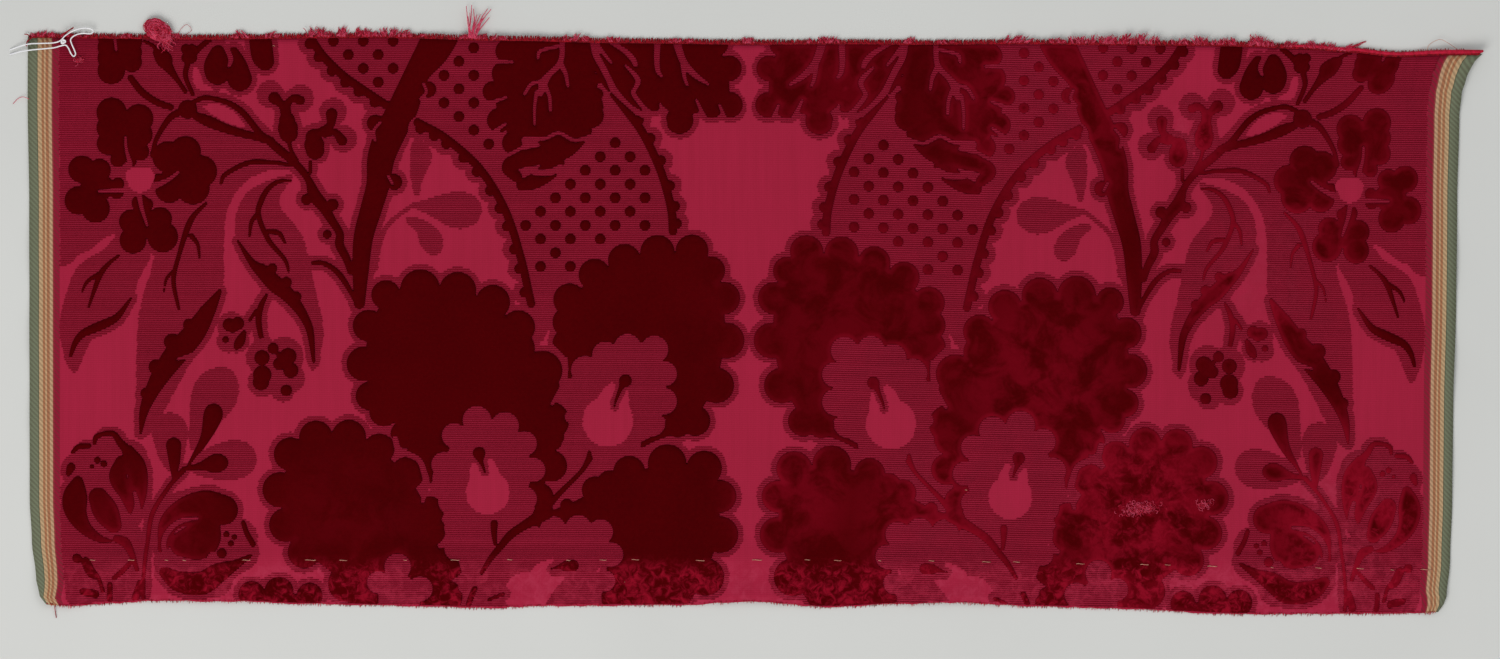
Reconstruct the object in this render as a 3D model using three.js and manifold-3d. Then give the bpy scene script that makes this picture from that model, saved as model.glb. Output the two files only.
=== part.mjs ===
// A fragment of figured silk velvet: one loom width between two selvedges, cut across the top and
// the bottom, lying face up on a table. Its top cut is frayed, and a white thread is tied
// through one corner. Millimetres, +Z up.
// The origin is on the flat underside, in the middle of the cloth. +X runs to the right selvedge
// and +Y along the warp, to the frayed cut.
// A place on the cloth is given in loom coordinates: u across, from the line that the pattern
// mirrors about, and v along the warp.
import * as THREE from "three";
import { mergeVertices } from "three/addons/utils/BufferGeometryUtils.js";
import Module from "manifold-3d";

// The cloth. Ground weave and pile together are one thickness, and the underside lies at z = 0.
const HALF_LOOM_WIDTH = 273;
const CLOTH_THICK = 1.7;
const MIRROR_LINE_X = 2.3;
const RIGHT_HALF_DRAWN_IN = 0.979;
const CLOTH_COLUMNS = 60;
const CLOTH_ROWS = 27;
const ROWS_CROWD_TO_HEM = 1.25;

// The two cuts, which wander across the weave: u and v of each cut's line.
const TOP_CUT = [
  { u: -273, v: 108.1 },
  { u: -208, v: 107.4 },
  { u: -143, v: 108.1 },
  { u: -87, v: 106.8 },
  { u: -49, v: 106.0 },
  { u: 0, v: 105.5 },
  { u: 58, v: 105.7 },
  { u: 116, v: 106.7 },
  { u: 186, v: 107.2 },
  { u: 213, v: 106.8 },
  { u: 231, v: 105.8 },
  { u: 247, v: 104.4 },
  { u: 263, v: 105.3 },
  { u: 273, v: 105.5 },
];
const BOTTOM_CUT = [
  { u: -273, v: -106.8 },
  { u: -262, v: -107.6 },
  { u: -242, v: -106.4 },
  { u: -227, v: -105.5 },
  { u: -196, v: -105.7 },
  { u: -166, v: -106.8 },
  { u: -120, v: -107.6 },
  { u: -102, v: -108.3 },
  { u: -75, v: -107.4 },
  { u: -30, v: -107.2 },
  { u: 0, v: -105.8 },
  { u: 31, v: -107.9 },
  { u: 62, v: -106.4 },
  { u: 78, v: -105.7 },
  { u: 109, v: -106.5 },
  { u: 140, v: -106.8 },
  { u: 186, v: -108.1 },
  { u: 248, v: -106.9 },
  { u: 263, v: -106.2 },
  { u: 273, v: -105.9 },
];

// How far each selvedge bows out from a straight line, and how fast that pull dies away inwards.
const LEFT_SELVEDGE = [
  { v: -107, out: -7.1 },
  { v: -105, out: -4.8 },
  { v: -96, out: -3.1 },
  { v: -83, out: -1.5 },
  { v: -67, out: -0.7 },
  { v: 8, out: -0.6 },
  { v: 46, out: -0.5 },
  { v: 84, out: 0.1 },
  { v: 109, out: 0 },
];
const RIGHT_SELVEDGE = [
  { v: -106, out: -6.6 },
  { v: -103.5, out: -4.7 },
  { v: -101, out: -3.4 },
  { v: -86, out: -1.9 },
  { v: -63, out: -1.1 },
  { v: -26, out: -0.7 },
  { v: 12, out: 0.4 },
  { v: 50, out: 0.8 },
  { v: 82, out: 1.6 },
  { v: 90, out: 2.3 },
  { v: 97, out: 4.2 },
  { v: 103, out: 7.2 },
  { v: 106, out: 10.3 },
];
const SELVEDGE_PULL_REACH = 22;

// The weft rows droop towards the right selvedge.
const ROW_DROOP = { fromU: 30, slope: 0.0195, ease: 40 };

// Where the cloth stands off the table: rises, each with its middle, its reach and its height.
const RISES = [
  { name: "upper right corner curl", u: 285, v: 112, reachU: 34, reachV: 34, rise: 4.2 },
  { name: "lower left corner", u: -285, v: -116, reachU: 38, reachV: 34, rise: 2.6 },
  { name: "lower right corner", u: 283, v: -112, reachU: 26, reachV: 30, rise: 1.6 },
  { name: "swell left of the middle", u: -118, v: -22, reachU: 62, reachV: 46, rise: 0.7 },
  { name: "swell right of the middle", u: 142, v: 30, reachU: 58, reachV: 52, rise: 0.9 },
  { name: "top edge, left", u: -92, v: 112, reachU: 54, reachV: 22, rise: 1.2 },
  { name: "top edge, right", u: 150, v: 113, reachU: 70, reachV: 24, rise: 1.5 },
  { name: "bottom edge, left", u: -206, v: -112, reachU: 40, reachV: 16, rise: 1.3 },
  { name: "bottom edge, middle", u: 2, v: -112, reachU: 30, reachV: 18, rise: 1.6 },
  { name: "bottom edge, right", u: 78, v: -112, reachU: 34, reachV: 15, rise: 1.4 },
];
// An old hem was turned under here and let out again, which left a low ridge.
const HEM_CREASE = { v: -90.1, reach: 8, rise: 0.9, endsAtU: 262, fades: 30 };
// Both selvedges cockle, between v = -85 and v = 85.
const COCKLES = [
  { side: -1, pitch: 33, phase: 0.8, reach: 12, rise: 0.8 },
  { side: 1, pitch: 41, phase: 2.1, reach: 14, rise: 1.0 },
];
const COCKLES_END_V = 85;

// The frayed cut: a narrow band of splayed pile, parted from the cloth, that its locks stand on.
const PIECE_GAP = 0.3;
const BAND_THICK = 1.1;
const BAND_TIP_BEYOND = 1.2;
const BAND = [
  { u: -273, wide: 0.8 },
  { u: -262, wide: 1.3 },
  { u: -60, wide: 1.3 },
  { u: 80, wide: 1.2 },
  { u: 225, wide: 1.4 },
  { u: 248, wide: 1.7 },
  { u: 266, wide: 1.8 },
  { u: 273, wide: 0.7 },
];
// Clumps of frayed silk along the band: where each starts and ends, how tall it is, its lean.
const CLUMPS = [
  { from: -271, to: -262, tall: 1.8, lean: 0.3 },
  { from: -237, to: -232, tall: 1.6, lean: 0.2 },
  { from: -219, to: -215, tall: 1.8, lean: -0.2 },
  { from: -196, to: -189, tall: 2.6, lean: -0.5 },
  { from: -183, to: -178, tall: 2.2, lean: 0.2 },
  { from: -168, to: -161, tall: 4.0, lean: 0.4 },
  { from: -158, to: -151, tall: 3.4, lean: 0.1 },
  { from: -149, to: -144, tall: 3.4, lean: -0.2 },
  { from: -142, to: -125, tall: 2.6, lean: 0.1 },
  { from: -111, to: -92, tall: 1.9, lean: 0.1 },
  { from: -72, to: -60, tall: 2.4, lean: 0.2 },
  { from: -54, to: -49, tall: 1.9, lean: 0.3 },
  { from: -30, to: -20, tall: 1.6, lean: 0 },
  { from: -4, to: 4, tall: 2.1, lean: 0.2 },
  { from: 22, to: 36, tall: 2.0, lean: -0.1 },
  { from: 60, to: 65, tall: 2.8, lean: 0.3 },
  { from: 70, to: 79, tall: 1.8, lean: 0 },
  { from: 98, to: 107, tall: 3.3, lean: 0.9 },
  { from: 111, to: 122, tall: 2.0, lean: 0.2 },
  { from: 126, to: 169, tall: 2.9, lean: 0.1 },
  { from: 182, to: 186, tall: 3.2, lean: 0.1 },
  { from: 193, to: 204, tall: 3.9, lean: 0.4 },
  { from: 207, to: 213, tall: 2.2, lean: 0.2 },
  { from: 218, to: 229, tall: 2.4, lean: 0.2 },
  { from: 231, to: 236, tall: 2.6, lean: 1.2 },
];
// A lock is rooted in the band, and tapers over two lengths to a blunt tip just off the table.
const LOCK = { pitch: 1.7, radius: 0.42, rootInBand: 0.35, tipShare: 0.45, offTable: 0.05 };
const LOCK_BEND_AT = 0.55;
const LOCK_LEAN_SPREAD = 0.35;
// The locks at a clump's two ends are this much of its full height, and any may be shorter yet.
const CLUMP_SHOULDER = 0.65;
const SHORTEST_LOCK = 0.7;
// A bunch of loose warp threads that stands out of the band, fanning to the right.
const WARP_BUNCH = { u: -105.5, wide: 3.7, threads: 12, tall: 12.6, leanLeft: -0.12, leanRight: 0.62 };
const WARP_THREAD_RADIUS = 0.3;
const SHORTEST_WARP_THREAD = 0.8;
// A wad of tangled silk filament caught on the band.
const WAD = { u: -224, beyondCut: 4.1, halfWide: 5.4, halfTall: 3.6, halfDeep: 1.5 };

// The white thread: a free end, a loop over the cut, one stitch into the cloth and a free end.
const THREAD_RADIUS = 0.2;
const THREAD_SIDES = 8;
const THREAD_STEPS = 78;
const THREAD_ROUTE = [
  { x: -277.6, y: 103.0, z: 0.5 },
  { x: -273.8, y: 104.3, z: 1.5 },
  { x: -270.0, y: 105.2, z: 2.3 },
  { x: -265.5, y: 105.4, z: 2.3 },
  { x: -260.9, y: 105.6, z: 2.3 },
  { x: -258.3, y: 106.4, z: 2.4 },
  { x: -256.4, y: 108.3, z: 2.4 },
  { x: -253.7, y: 110.0, z: 2.3 },
  { x: -250.3, y: 111.1, z: 2.2 },
  { x: -247.3, y: 111.0, z: 2.1 },
  { x: -245.8, y: 110.1, z: 2.1 },
  { x: -246.9, y: 109.1, z: 2.1 },
  { x: -249.9, y: 109.2, z: 2.2 },
  { x: -252.6, y: 108.5, z: 2.3 },
  { x: -254.3, y: 107.0, z: 2.4 },
  { x: -254.0, y: 105.3, z: 2.4 },
  { x: -253.0, y: 103.0, z: 2.3 },
  { x: -252.5, y: 101.4, z: 2.3 },
  { x: -253.2, y: 100.5, z: 2.3 },
  { x: -254.2, y: 101.5, z: 2.3 },
  { x: -255.2, y: 103.6, z: 2.3 },
  { x: -256.2, y: 104.7, z: 2.4 },
  { x: -257.9, y: 104.5, z: 2.4 },
  { x: -260.5, y: 103.8, z: 2.3 },
  { x: -264.0, y: 103.4, z: 2.3 },
  { x: -268.5, y: 103.0, z: 2.3 },
  { x: -273.0, y: 102.4, z: 1.6 },
  { x: -277.6, y: 101.3, z: 0.5 },
];

// The value of a table's column at a place along it, eased between its rows.
function alongTable(table, key, column, place) {
  const last = table.length - 1;
  if (place <= table[0][key]) return table[0][column];
  if (place >= table[last][key]) return table[last][column];
  const next = table.findIndex((row) => row[key] > place);
  const before = table[next - 1];
  const after = table[next];
  const share = (place - before[key]) / (after[key] - before[key]);
  const eased = share * share * (3 - 2 * share);
  return before[column] + (after[column] - before[column]) * eased;
}

const topCut = (u) => alongTable(TOP_CUT, "u", "v", u);
const bottomCut = (u) => alongTable(BOTTOM_CUT, "u", "v", u);

// A smooth hump: 1 in its middle, 0 from its reach outwards.
function hump(distance, reach) {
  const share = Math.min(1, Math.abs(distance) / reach);
  return (1 - share * share) ** 2;
}

function rowDroop(u) {
  const past = Math.max(0, u - ROW_DROOP.fromU);
  return (ROW_DROOP.slope * past * past) / (past + ROW_DROOP.ease);
}

// How high the underside stands over the table.
function lift(u, v) {
  let height = 0;
  for (const r of RISES) height += r.rise * hump(u - r.u, r.reachU) * hump(v - r.v, r.reachV);
  const toCreaseEnd = (HEM_CREASE.endsAtU - Math.abs(u)) / HEM_CREASE.fades;
  const creaseEnds = Math.min(1, Math.max(0, toCreaseEnd));
  height += HEM_CREASE.rise * hump(v - HEM_CREASE.v, HEM_CREASE.reach) * creaseEnds;
  for (const c of COCKLES) {
    const fromSelvedge = HALF_LOOM_WIDTH - c.side * u;
    const wave = 0.5 + 0.5 * Math.cos((2 * Math.PI * v) / c.pitch + c.phase);
    height += c.rise * wave * hump(fromSelvedge, c.reach) * hump(v, COCKLES_END_V);
  }
  return height;
}

// The place of a point of the cloth, and of what lies past its cuts, on the table.
function lay(u, v, above) {
  const drawn = u > 0 ? u * RIGHT_HALF_DRAWN_IN : u;
  const leftPull = Math.exp(-Math.max(0, HALF_LOOM_WIDTH + u) / SELVEDGE_PULL_REACH);
  const rightPull = Math.exp(-Math.max(0, HALF_LOOM_WIDTH - u) / SELVEDGE_PULL_REACH);
  const x =
    MIRROR_LINE_X + drawn - leftPull * alongTable(LEFT_SELVEDGE, "v", "out", v) +
    rightPull * alongTable(RIGHT_SELVEDGE, "v", "out", v);
  return new THREE.Vector3(x, v - rowDroop(u), above + lift(u, v));
}

// A closed skin over rings of points that have the same count, with a fan over each end.
function skinOverRings(rings) {
  const sides = rings[0].length;
  const points = rings.flat();
  const faces = [];
  for (let ring = 0; ring + 1 < rings.length; ring += 1) {
    for (let side = 0; side < sides; side += 1) {
      const a = ring * sides + side;
      const b = ring * sides + ((side + 1) % sides);
      faces.push(a, b, b + sides, a, b + sides, a + sides);
    }
  }
  const end = (rings.length - 1) * sides;
  for (let side = 1; side + 1 < sides; side += 1) {
    faces.push(0, side + 1, side);
    faces.push(end, end + side, end + side + 1);
  }
  return new THREE.BufferGeometry().setFromPoints(points).setIndex(faces);
}

// The u of a column of the cloth's grid, counted from the left selvedge.
function columnPlace(column) {
  return HALF_LOOM_WIDTH * ((2 * column) / CLOTH_COLUMNS - 1);
}

// The velvet cloth: an upper and a lower sheet of points joined round all four sides.
function velvetCloth() {
  const points = [];
  const faces = [];
  const rowCount = CLOTH_ROWS + 1;
  const index = (layer, column, row) => (layer * (CLOTH_COLUMNS + 1) + column) * rowCount + row;
  for (const layer of [0, 1]) {
    for (let column = 0; column <= CLOTH_COLUMNS; column += 1) {
      const u = columnPlace(column);
      for (let row = 0; row <= CLOTH_ROWS; row += 1) {
        const share = (row / CLOTH_ROWS) ** ROWS_CROWD_TO_HEM;
        const v = bottomCut(u) + (topCut(u) - bottomCut(u)) * share;
        points.push(lay(u, v, layer * CLOTH_THICK));
      }
    }
  }
  const quad = (a, b, c, d) => faces.push(a, b, c, a, c, d);
  for (let column = 0; column < CLOTH_COLUMNS; column += 1) {
    for (let row = 0; row < CLOTH_ROWS; row += 1) {
      const corners = [[0, 0], [1, 0], [1, 1], [0, 1]];
      quad(...corners.map(([c, r]) => index(1, column + c, row + r)));
      quad(...corners.reverse().map(([c, r]) => index(0, column + c, row + r)));
    }
  }
  for (let column = 0; column < CLOTH_COLUMNS; column += 1) {
    const low = [index(0, column, 0), index(0, column + 1, 0)];
    const high = [index(0, column, CLOTH_ROWS), index(0, column + 1, CLOTH_ROWS)];
    quad(low[0], low[1], index(1, column + 1, 0), index(1, column, 0));
    quad(high[1], high[0], index(1, column, CLOTH_ROWS), index(1, column + 1, CLOTH_ROWS));
  }
  for (let row = 0; row < CLOTH_ROWS; row += 1) {
    const left = [index(0, 0, row), index(0, 0, row + 1)];
    const right = [index(0, CLOTH_COLUMNS, row), index(0, CLOTH_COLUMNS, row + 1)];
    quad(left[1], left[0], index(1, 0, row), index(1, 0, row + 1));
    quad(right[0], right[1], index(1, CLOTH_COLUMNS, row + 1), index(1, CLOTH_COLUMNS, row));
  }
  return new THREE.BufferGeometry().setFromPoints(points).setIndex(faces);
}

// The band of splayed pile, a closed skin of square sections just past the top cut. It has a
// section at each column of the cloth, so its gap to the cloth is even.
function frayBand() {
  const places = Array.from({ length: CLOTH_COLUMNS + 1 }, (_, column) => columnPlace(column));
  places.push(HALF_LOOM_WIDTH + BAND_TIP_BEYOND);
  const rings = [];
  for (const u of places) {
    const foot = lay(u, topCut(u), 0);
    const near = foot.y + PIECE_GAP;
    const far = near + alongTable(BAND, "u", "wide", u);
    const top = foot.z + BAND_THICK;
    rings.push([
      new THREE.Vector3(foot.x, near, foot.z),
      new THREE.Vector3(foot.x, far, foot.z),
      new THREE.Vector3(foot.x, far, top),
      new THREE.Vector3(foot.x, near, top),
    ]);
  }
  return skinOverRings(rings);
}

// One three-sided lock that starts inside the band, leans along the cut and tapers.
function lock(u, tall, lean, radius) {
  const root = lay(u, topCut(u), 0);
  root.y += PIECE_GAP + LOCK.rootInBand;
  const rings = [0, LOCK_BEND_AT, 1].map((share) => {
    const reach = radius * (1 - (1 - LOCK.tipShare) * share);
    const bend = LOCK_BEND_AT + (1 - LOCK_BEND_AT) * share;
    const x = root.x + lean * tall * share * bend;
    const y = root.y + tall * share;
    const z = root.z + reach + LOCK.offTable;
    return [0, 1, 2].map((corner) => {
      const turn = (2 * Math.PI * corner) / 3 - Math.PI / 2;
      return new THREE.Vector3(x - reach * Math.cos(turn), y, z + reach * Math.sin(turn));
    });
  });
  return skinOverRings(rings);
}

// A number from 0 to 1 that looks random and is the same each time, so no two neighbours match.
function scatter(count) {
  return (((Math.sin(count * 12.9898) * 43758.5453) % 1) + 1) / 2;
}

function clumpLocks() {
  const locks = [];
  for (const clump of CLUMPS) {
    const count = Math.max(2, Math.round((clump.to - clump.from) / LOCK.pitch));
    for (let n = 0; n < count; n += 1) {
      const share = (n + 0.5) / count;
      const crown = CLUMP_SHOULDER + (1 - CLUMP_SHOULDER) * Math.sin(Math.PI * share);
      const cutShort = SHORTEST_LOCK + (1 - SHORTEST_LOCK) * scatter(locks.length);
      const tall = alongTable(BAND, "u", "wide", clump.from) + clump.tall * crown * cutShort;
      const lean = clump.lean + LOCK_LEAN_SPREAD * (scatter(-1 - locks.length) - 0.5);
      locks.push(lock(clump.from + (clump.to - clump.from) * share, tall, lean, LOCK.radius));
    }
  }
  return locks;
}

function warpThreads() {
  const { u, wide, threads, tall, leanLeft, leanRight } = WARP_BUNCH;
  return Array.from({ length: threads }, (_, n) => {
    const share = n / (threads - 1);
    const lean = leanLeft + (leanRight - leanLeft) * share;
    const cutShort = SHORTEST_WARP_THREAD + (1 - SHORTEST_WARP_THREAD) * scatter(n);
    return lock(u + wide * (share - 0.5), tall * cutShort, lean, WARP_THREAD_RADIUS);
  });
}

function wad() {
  const { u, beyondCut, halfWide, halfTall, halfDeep } = WAD;
  const foot = lay(u, topCut(u), 0);
  return new THREE.SphereGeometry(1, 14, 8)
    .scale(halfWide, halfTall, halfDeep)
    .translate(foot.x, foot.y + beyondCut, foot.z + halfDeep + LOCK.offTable);
}

// The thread, a tube along its route.
function whiteThread() {
  const route = new THREE.CatmullRomCurve3(
    THREAD_ROUTE.map(({ x, y, z }) => new THREE.Vector3(x, y, z)),
    false,
    "centripetal",
  );
  const section = new THREE.Shape(
    Array.from({ length: THREAD_SIDES }, (_, side) => {
      const turn = (2 * Math.PI * side) / THREAD_SIDES;
      return new THREE.Vector2(THREAD_RADIUS * Math.cos(turn), THREAD_RADIUS * Math.sin(turn));
    }),
  );
  return new THREE.ExtrudeGeometry(section, {
    steps: THREAD_STEPS,
    extrudePath: route,
    bevelEnabled: false,
  });
}

const wasm = await Module();
wasm.setup();

// A closed geometry as a solid that can be joined to others.
function solidOf(geometry) {
  const bare = geometry.clone();
  bare.deleteAttribute("normal");
  bare.deleteAttribute("uv");
  const merged = mergeVertices(bare, 1e-4);
  return new wasm.Manifold(
    new wasm.Mesh({
      numProp: 3,
      vertProperties: merged.getAttribute("position").array,
      triVerts: new Uint32Array(merged.index.array),
    }),
  );
}

function joined(geometries) {
  const mesh = geometries.map(solidOf).reduce((whole, next) => whole.add(next)).getMesh();
  return new THREE.BufferGeometry()
    .setAttribute("position", new THREE.BufferAttribute(mesh.vertProperties, 3))
    .setIndex(new THREE.BufferAttribute(mesh.triVerts, 1));
}

const crimsonVelvet = new THREE.MeshStandardMaterial({ color: 0x8a1128, roughness: 0.85, metalness: 0 });
const frayedSilk = new THREE.MeshStandardMaterial({ color: 0xb3203e, roughness: 0.7, metalness: 0 });
const whiteCotton = new THREE.MeshStandardMaterial({ color: 0xe6e2da, roughness: 0.9, metalness: 0 });

function piece(name, geometry, material) {
  geometry.computeVertexNormals();
  const mesh = new THREE.Mesh(geometry, material);
  mesh.name = name;
  return mesh;
}

const fragment = new THREE.Group();
fragment.add(piece("velvet_cloth", velvetCloth(), crimsonVelvet));
fragment.add(piece("frayed_cut", joined([frayBand(), ...clumpLocks(), ...warpThreads(), wad()]), frayedSilk));
fragment.add(piece("white_thread", whiteThread(), whiteCotton));

export default fragment;
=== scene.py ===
import math
import random

import bpy
import numpy as np
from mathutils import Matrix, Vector
from mathutils.geometry import delaunay_2d_cdt


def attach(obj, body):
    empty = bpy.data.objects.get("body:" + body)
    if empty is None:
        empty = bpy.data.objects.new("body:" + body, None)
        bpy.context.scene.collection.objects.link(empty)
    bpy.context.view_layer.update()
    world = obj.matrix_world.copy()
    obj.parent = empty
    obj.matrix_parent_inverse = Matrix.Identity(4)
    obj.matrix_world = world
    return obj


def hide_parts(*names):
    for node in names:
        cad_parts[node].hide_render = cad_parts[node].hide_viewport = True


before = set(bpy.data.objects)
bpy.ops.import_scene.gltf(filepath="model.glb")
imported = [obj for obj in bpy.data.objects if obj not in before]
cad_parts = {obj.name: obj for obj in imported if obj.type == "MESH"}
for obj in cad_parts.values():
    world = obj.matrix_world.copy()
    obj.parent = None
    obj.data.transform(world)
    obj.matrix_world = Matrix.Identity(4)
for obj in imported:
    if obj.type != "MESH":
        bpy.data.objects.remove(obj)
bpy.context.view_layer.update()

MM = 0.001


# The view. The fragment lies face up on a table, and the camera hangs straight over it, with the
# frayed cut at the top of the picture and both selvedges well inside it.
VIEW_MIDDLE = (2.65 * MM, -2.84 * MM)
VIEW_WIDTH = 568 * MM
CAMERA_HEIGHT = 2.4
SENSOR_WIDTH = 36.0
SEES_AS_FAR_AS = 20

camera = bpy.data.objects.new("camera", bpy.data.cameras.new("camera"))
camera.location = (*VIEW_MIDDLE, CAMERA_HEIGHT)
camera.data.sensor_width = SENSOR_WIDTH
camera.data.lens = SENSOR_WIDTH * CAMERA_HEIGHT / VIEW_WIDTH
camera.data.clip_end = SEES_AS_FAR_AS
bpy.context.collection.objects.link(camera)
bpy.context.scene.camera = camera
bpy.context.scene.view_settings.view_transform = "Standard"


# The white thread. A soft sewing cotton, doubled, is looped over the cut and through the upper left
# corner, and knotted there, with both ends left hanging over the selvedge. It ties nothing now.
THREAD_WIDE = 0.5
POINTS_TO_A_SPAN = 6
KNOT = {"x": -257.2, "y": 106.1, "z": 2.5, "across": 0.62, "swells": 0.45, "rises": 0.28, "turns": 3,
        "points": 60}
THREAD_ROUTE = [
    (-277.6, 103.0, 0.5), (-273.8, 104.3, 1.5), (-270.0, 105.2, 2.3), (-265.5, 105.4, 2.3),
    (-260.9, 105.6, 2.3), (-258.3, 106.4, 2.4), (-256.4, 108.3, 2.4), (-253.7, 110.0, 2.3),
    (-250.3, 111.1, 2.2), (-247.3, 111.0, 2.1), (-245.8, 110.1, 2.1), (-246.9, 109.1, 2.1),
    (-249.9, 109.2, 2.2), (-252.6, 108.5, 2.3), (-254.3, 107.0, 2.4), (-254.0, 105.3, 2.4),
    (-253.0, 103.0, 2.3), (-252.5, 101.4, 2.3), (-253.2, 100.5, 2.3), (-254.2, 101.5, 2.3),
    (-255.2, 103.6, 2.3), (-256.2, 104.7, 2.4), (-257.9, 104.5, 2.4), (-260.5, 103.8, 2.3),
    (-264.0, 103.4, 2.3), (-268.5, 103.0, 2.3), (-273.0, 102.4, 1.6), (-277.6, 101.3, 0.5),
]


def smooth_line(points, per_span):
    """A line through the points, rounded between them, with so many points to a span."""
    p = np.array(points, float)
    p = np.vstack([2 * p[0] - p[1], p, 2 * p[-1] - p[-2]])
    share = (np.arange(per_span) / per_span)[:, None]
    spans = []
    for before, start, end, after in zip(p, p[1:], p[2:], p[3:]):
        bend = 2 * before - 5 * start + 4 * end - after
        twist = 3 * start - before - 3 * end + after
        spans.append(start + share * ((end - before) + share * (bend + share * twist)) / 2)
    return np.vstack([*spans, p[-2:-1]])


def node(tree, kind, inputs={}, **options):
    """A new node in a tree, with its options set and its inputs set or joined to sockets."""
    made = tree.nodes.new(kind)
    for name, value in options.items():
        setattr(made, name, value)
    for name, value in inputs.items():
        if isinstance(value, bpy.types.NodeSocket):
            tree.links.new(value, made.inputs[name])
        else:
            made.inputs[name].default_value = value
    return made


def math_node(tree, operation, *values):
    return node(tree, "ShaderNodeMath", dict(enumerate(values)), operation=operation).outputs[0]


def mixed(tree, share, first, second):
    """One colour turning into another as the share goes from 0 to 1."""
    inputs = {"Factor": share, 6: first, 7: second}
    return node(tree, "ShaderNodeMix", inputs, data_type="RGBA").outputs[2]


def eased(tree, value, low, high, top=1.0):
    """A share that rises smoothly from 0, where a value is low, to its top, where it is high."""
    inputs = {"Value": value, "From Min": low, "From Max": high, "To Max": top}
    return node(tree, "ShaderNodeMapRange", inputs, interpolation_type="SMOOTHSTEP").outputs[0]


def clouds_of(tree, place, scale, detail=2.0, roughness=0.5, distortion=0.0):
    """Soft clouds, about one metre divided by their scale in size."""
    inputs = {"Vector": place, "Scale": scale, "Detail": detail, "Roughness": roughness,
              "Distortion": distortion}
    return node(tree, "ShaderNodeTexNoise", inputs).outputs["Fac"]


def bands_of(tree, place, scale, across, distortion, detail=2.0, detail_scale=1.0):
    """Even bands across X, Y or the diagonal, bent a little."""
    inputs = {"Vector": place, "Scale": scale, "Distortion": distortion, "Detail": detail,
              "Detail Scale": detail_scale}
    return node(tree, "ShaderNodeTexWave", inputs, bands_direction=across).outputs["Fac"]


def paint_colour(red, green, blue):
    """A colour as it is mixed on screen, from 0 to 255, made a colour of light."""
    def light(part):
        part = part / 255
        return part / 12.92 if part <= 0.04045 else ((part + 0.055) / 1.055) ** 2.4
    return (light(red), light(green), light(blue), 1.0)


def new_finish(name):
    """A new material, its node tree and its shader."""
    finish = bpy.data.materials.new(name)
    finish.use_nodes = True
    tree = finish.node_tree
    return finish, tree, tree.nodes["Principled BSDF"]


def coat(tree, shader, colour, relief, strength, deep, roughness, shine, sheen):
    """Gives a shader its colour, a relief that is so many mm deep, and its gloss."""
    tree.links.new(colour, shader.inputs["Base Color"])
    bump = node(tree, "ShaderNodeBump", {"Height": relief, "Strength": strength, "Distance": deep * MM})
    tree.links.new(bump.outputs[0], shader.inputs["Normal"])
    shader.inputs["Roughness"].default_value = roughness
    shader.inputs["Specular IOR Level"].default_value = shine
    shader.inputs["Sheen Weight"].default_value = sheen


SPUN = {"ply_share": 0.35, "ply_distortion": 3.0, "patch_from": 0.36, "patch_to": 0.64, "strength": 0.5,
        "deep": 0.1, "roughness": 0.85, "shine": 0.15}


def spun_finish(name, pale, deep, ply, patch, sheen):
    """Spun thread: two tones of one colour, by its plies and from patch to patch along it."""
    finish, tree, shader = new_finish(name)
    place = node(tree, "ShaderNodeTexCoord").outputs["Object"]
    plies = bands_of(tree, place, ply, "DIAGONAL", SPUN["ply_distortion"])
    patches = node(tree, "ShaderNodeMapRange", {
        "Value": clouds_of(tree, place, patch), "From Min": SPUN["patch_from"], "From Max": SPUN["patch_to"],
    }).outputs[0]
    share = math_node(tree, "MULTIPLY", patches, 1 - SPUN["ply_share"])
    share = math_node(tree, "MULTIPLY_ADD", plies, SPUN["ply_share"], share)
    coat(tree, shader, mixed(tree, share, deep, pale), plies, SPUN["strength"], SPUN["deep"],
         SPUN["roughness"], SPUN["shine"], sheen)
    return finish


cotton = spun_finish("white_sewing_cotton", paint_colour(253, 252, 252), paint_colour(226, 226, 232),
                     900.0, 500.0, 0.1)


def thread_curve(name, points, closed):
    """A round thread as a curve through the points, which are in mm."""
    curve = bpy.data.curves.new(name, "CURVE")
    curve.dimensions = "3D"
    curve.bevel_depth = THREAD_WIDE * MM / 2
    curve.bevel_resolution = 2
    curve.use_fill_caps = True
    spline = curve.splines.new("POLY")
    spline.points.add(len(points) - 1)
    for place, point in zip(spline.points, points):
        place.co = (*(np.array(point) * MM), 1)
    spline.use_cyclic_u = closed
    thread = bpy.data.objects.new(name, curve)
    thread.data.materials.append(cotton)
    bpy.context.collection.objects.link(thread)
    return thread


thread_line = smooth_line(THREAD_ROUTE, POINTS_TO_A_SPAN)
white_thread = thread_curve("white_thread_tied", thread_line, False)
knot_line = []
for step in range(KNOT["points"]):
    turn = 2 * math.pi * step / KNOT["points"]
    out = KNOT["across"] * (1 + KNOT["swells"] * math.cos(KNOT["turns"] * turn))
    knot_line.append((KNOT["x"] + out * math.cos(2 * turn),
                      KNOT["y"] + out * math.sin(2 * turn),
                      KNOT["z"] + KNOT["rises"] * math.sin(KNOT["turns"] * turn)))
thread_knot = thread_curve("white_thread_knot", knot_line, True)
for piece in (white_thread, thread_knot):
    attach(piece, "root")
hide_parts("white_thread")


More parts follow.
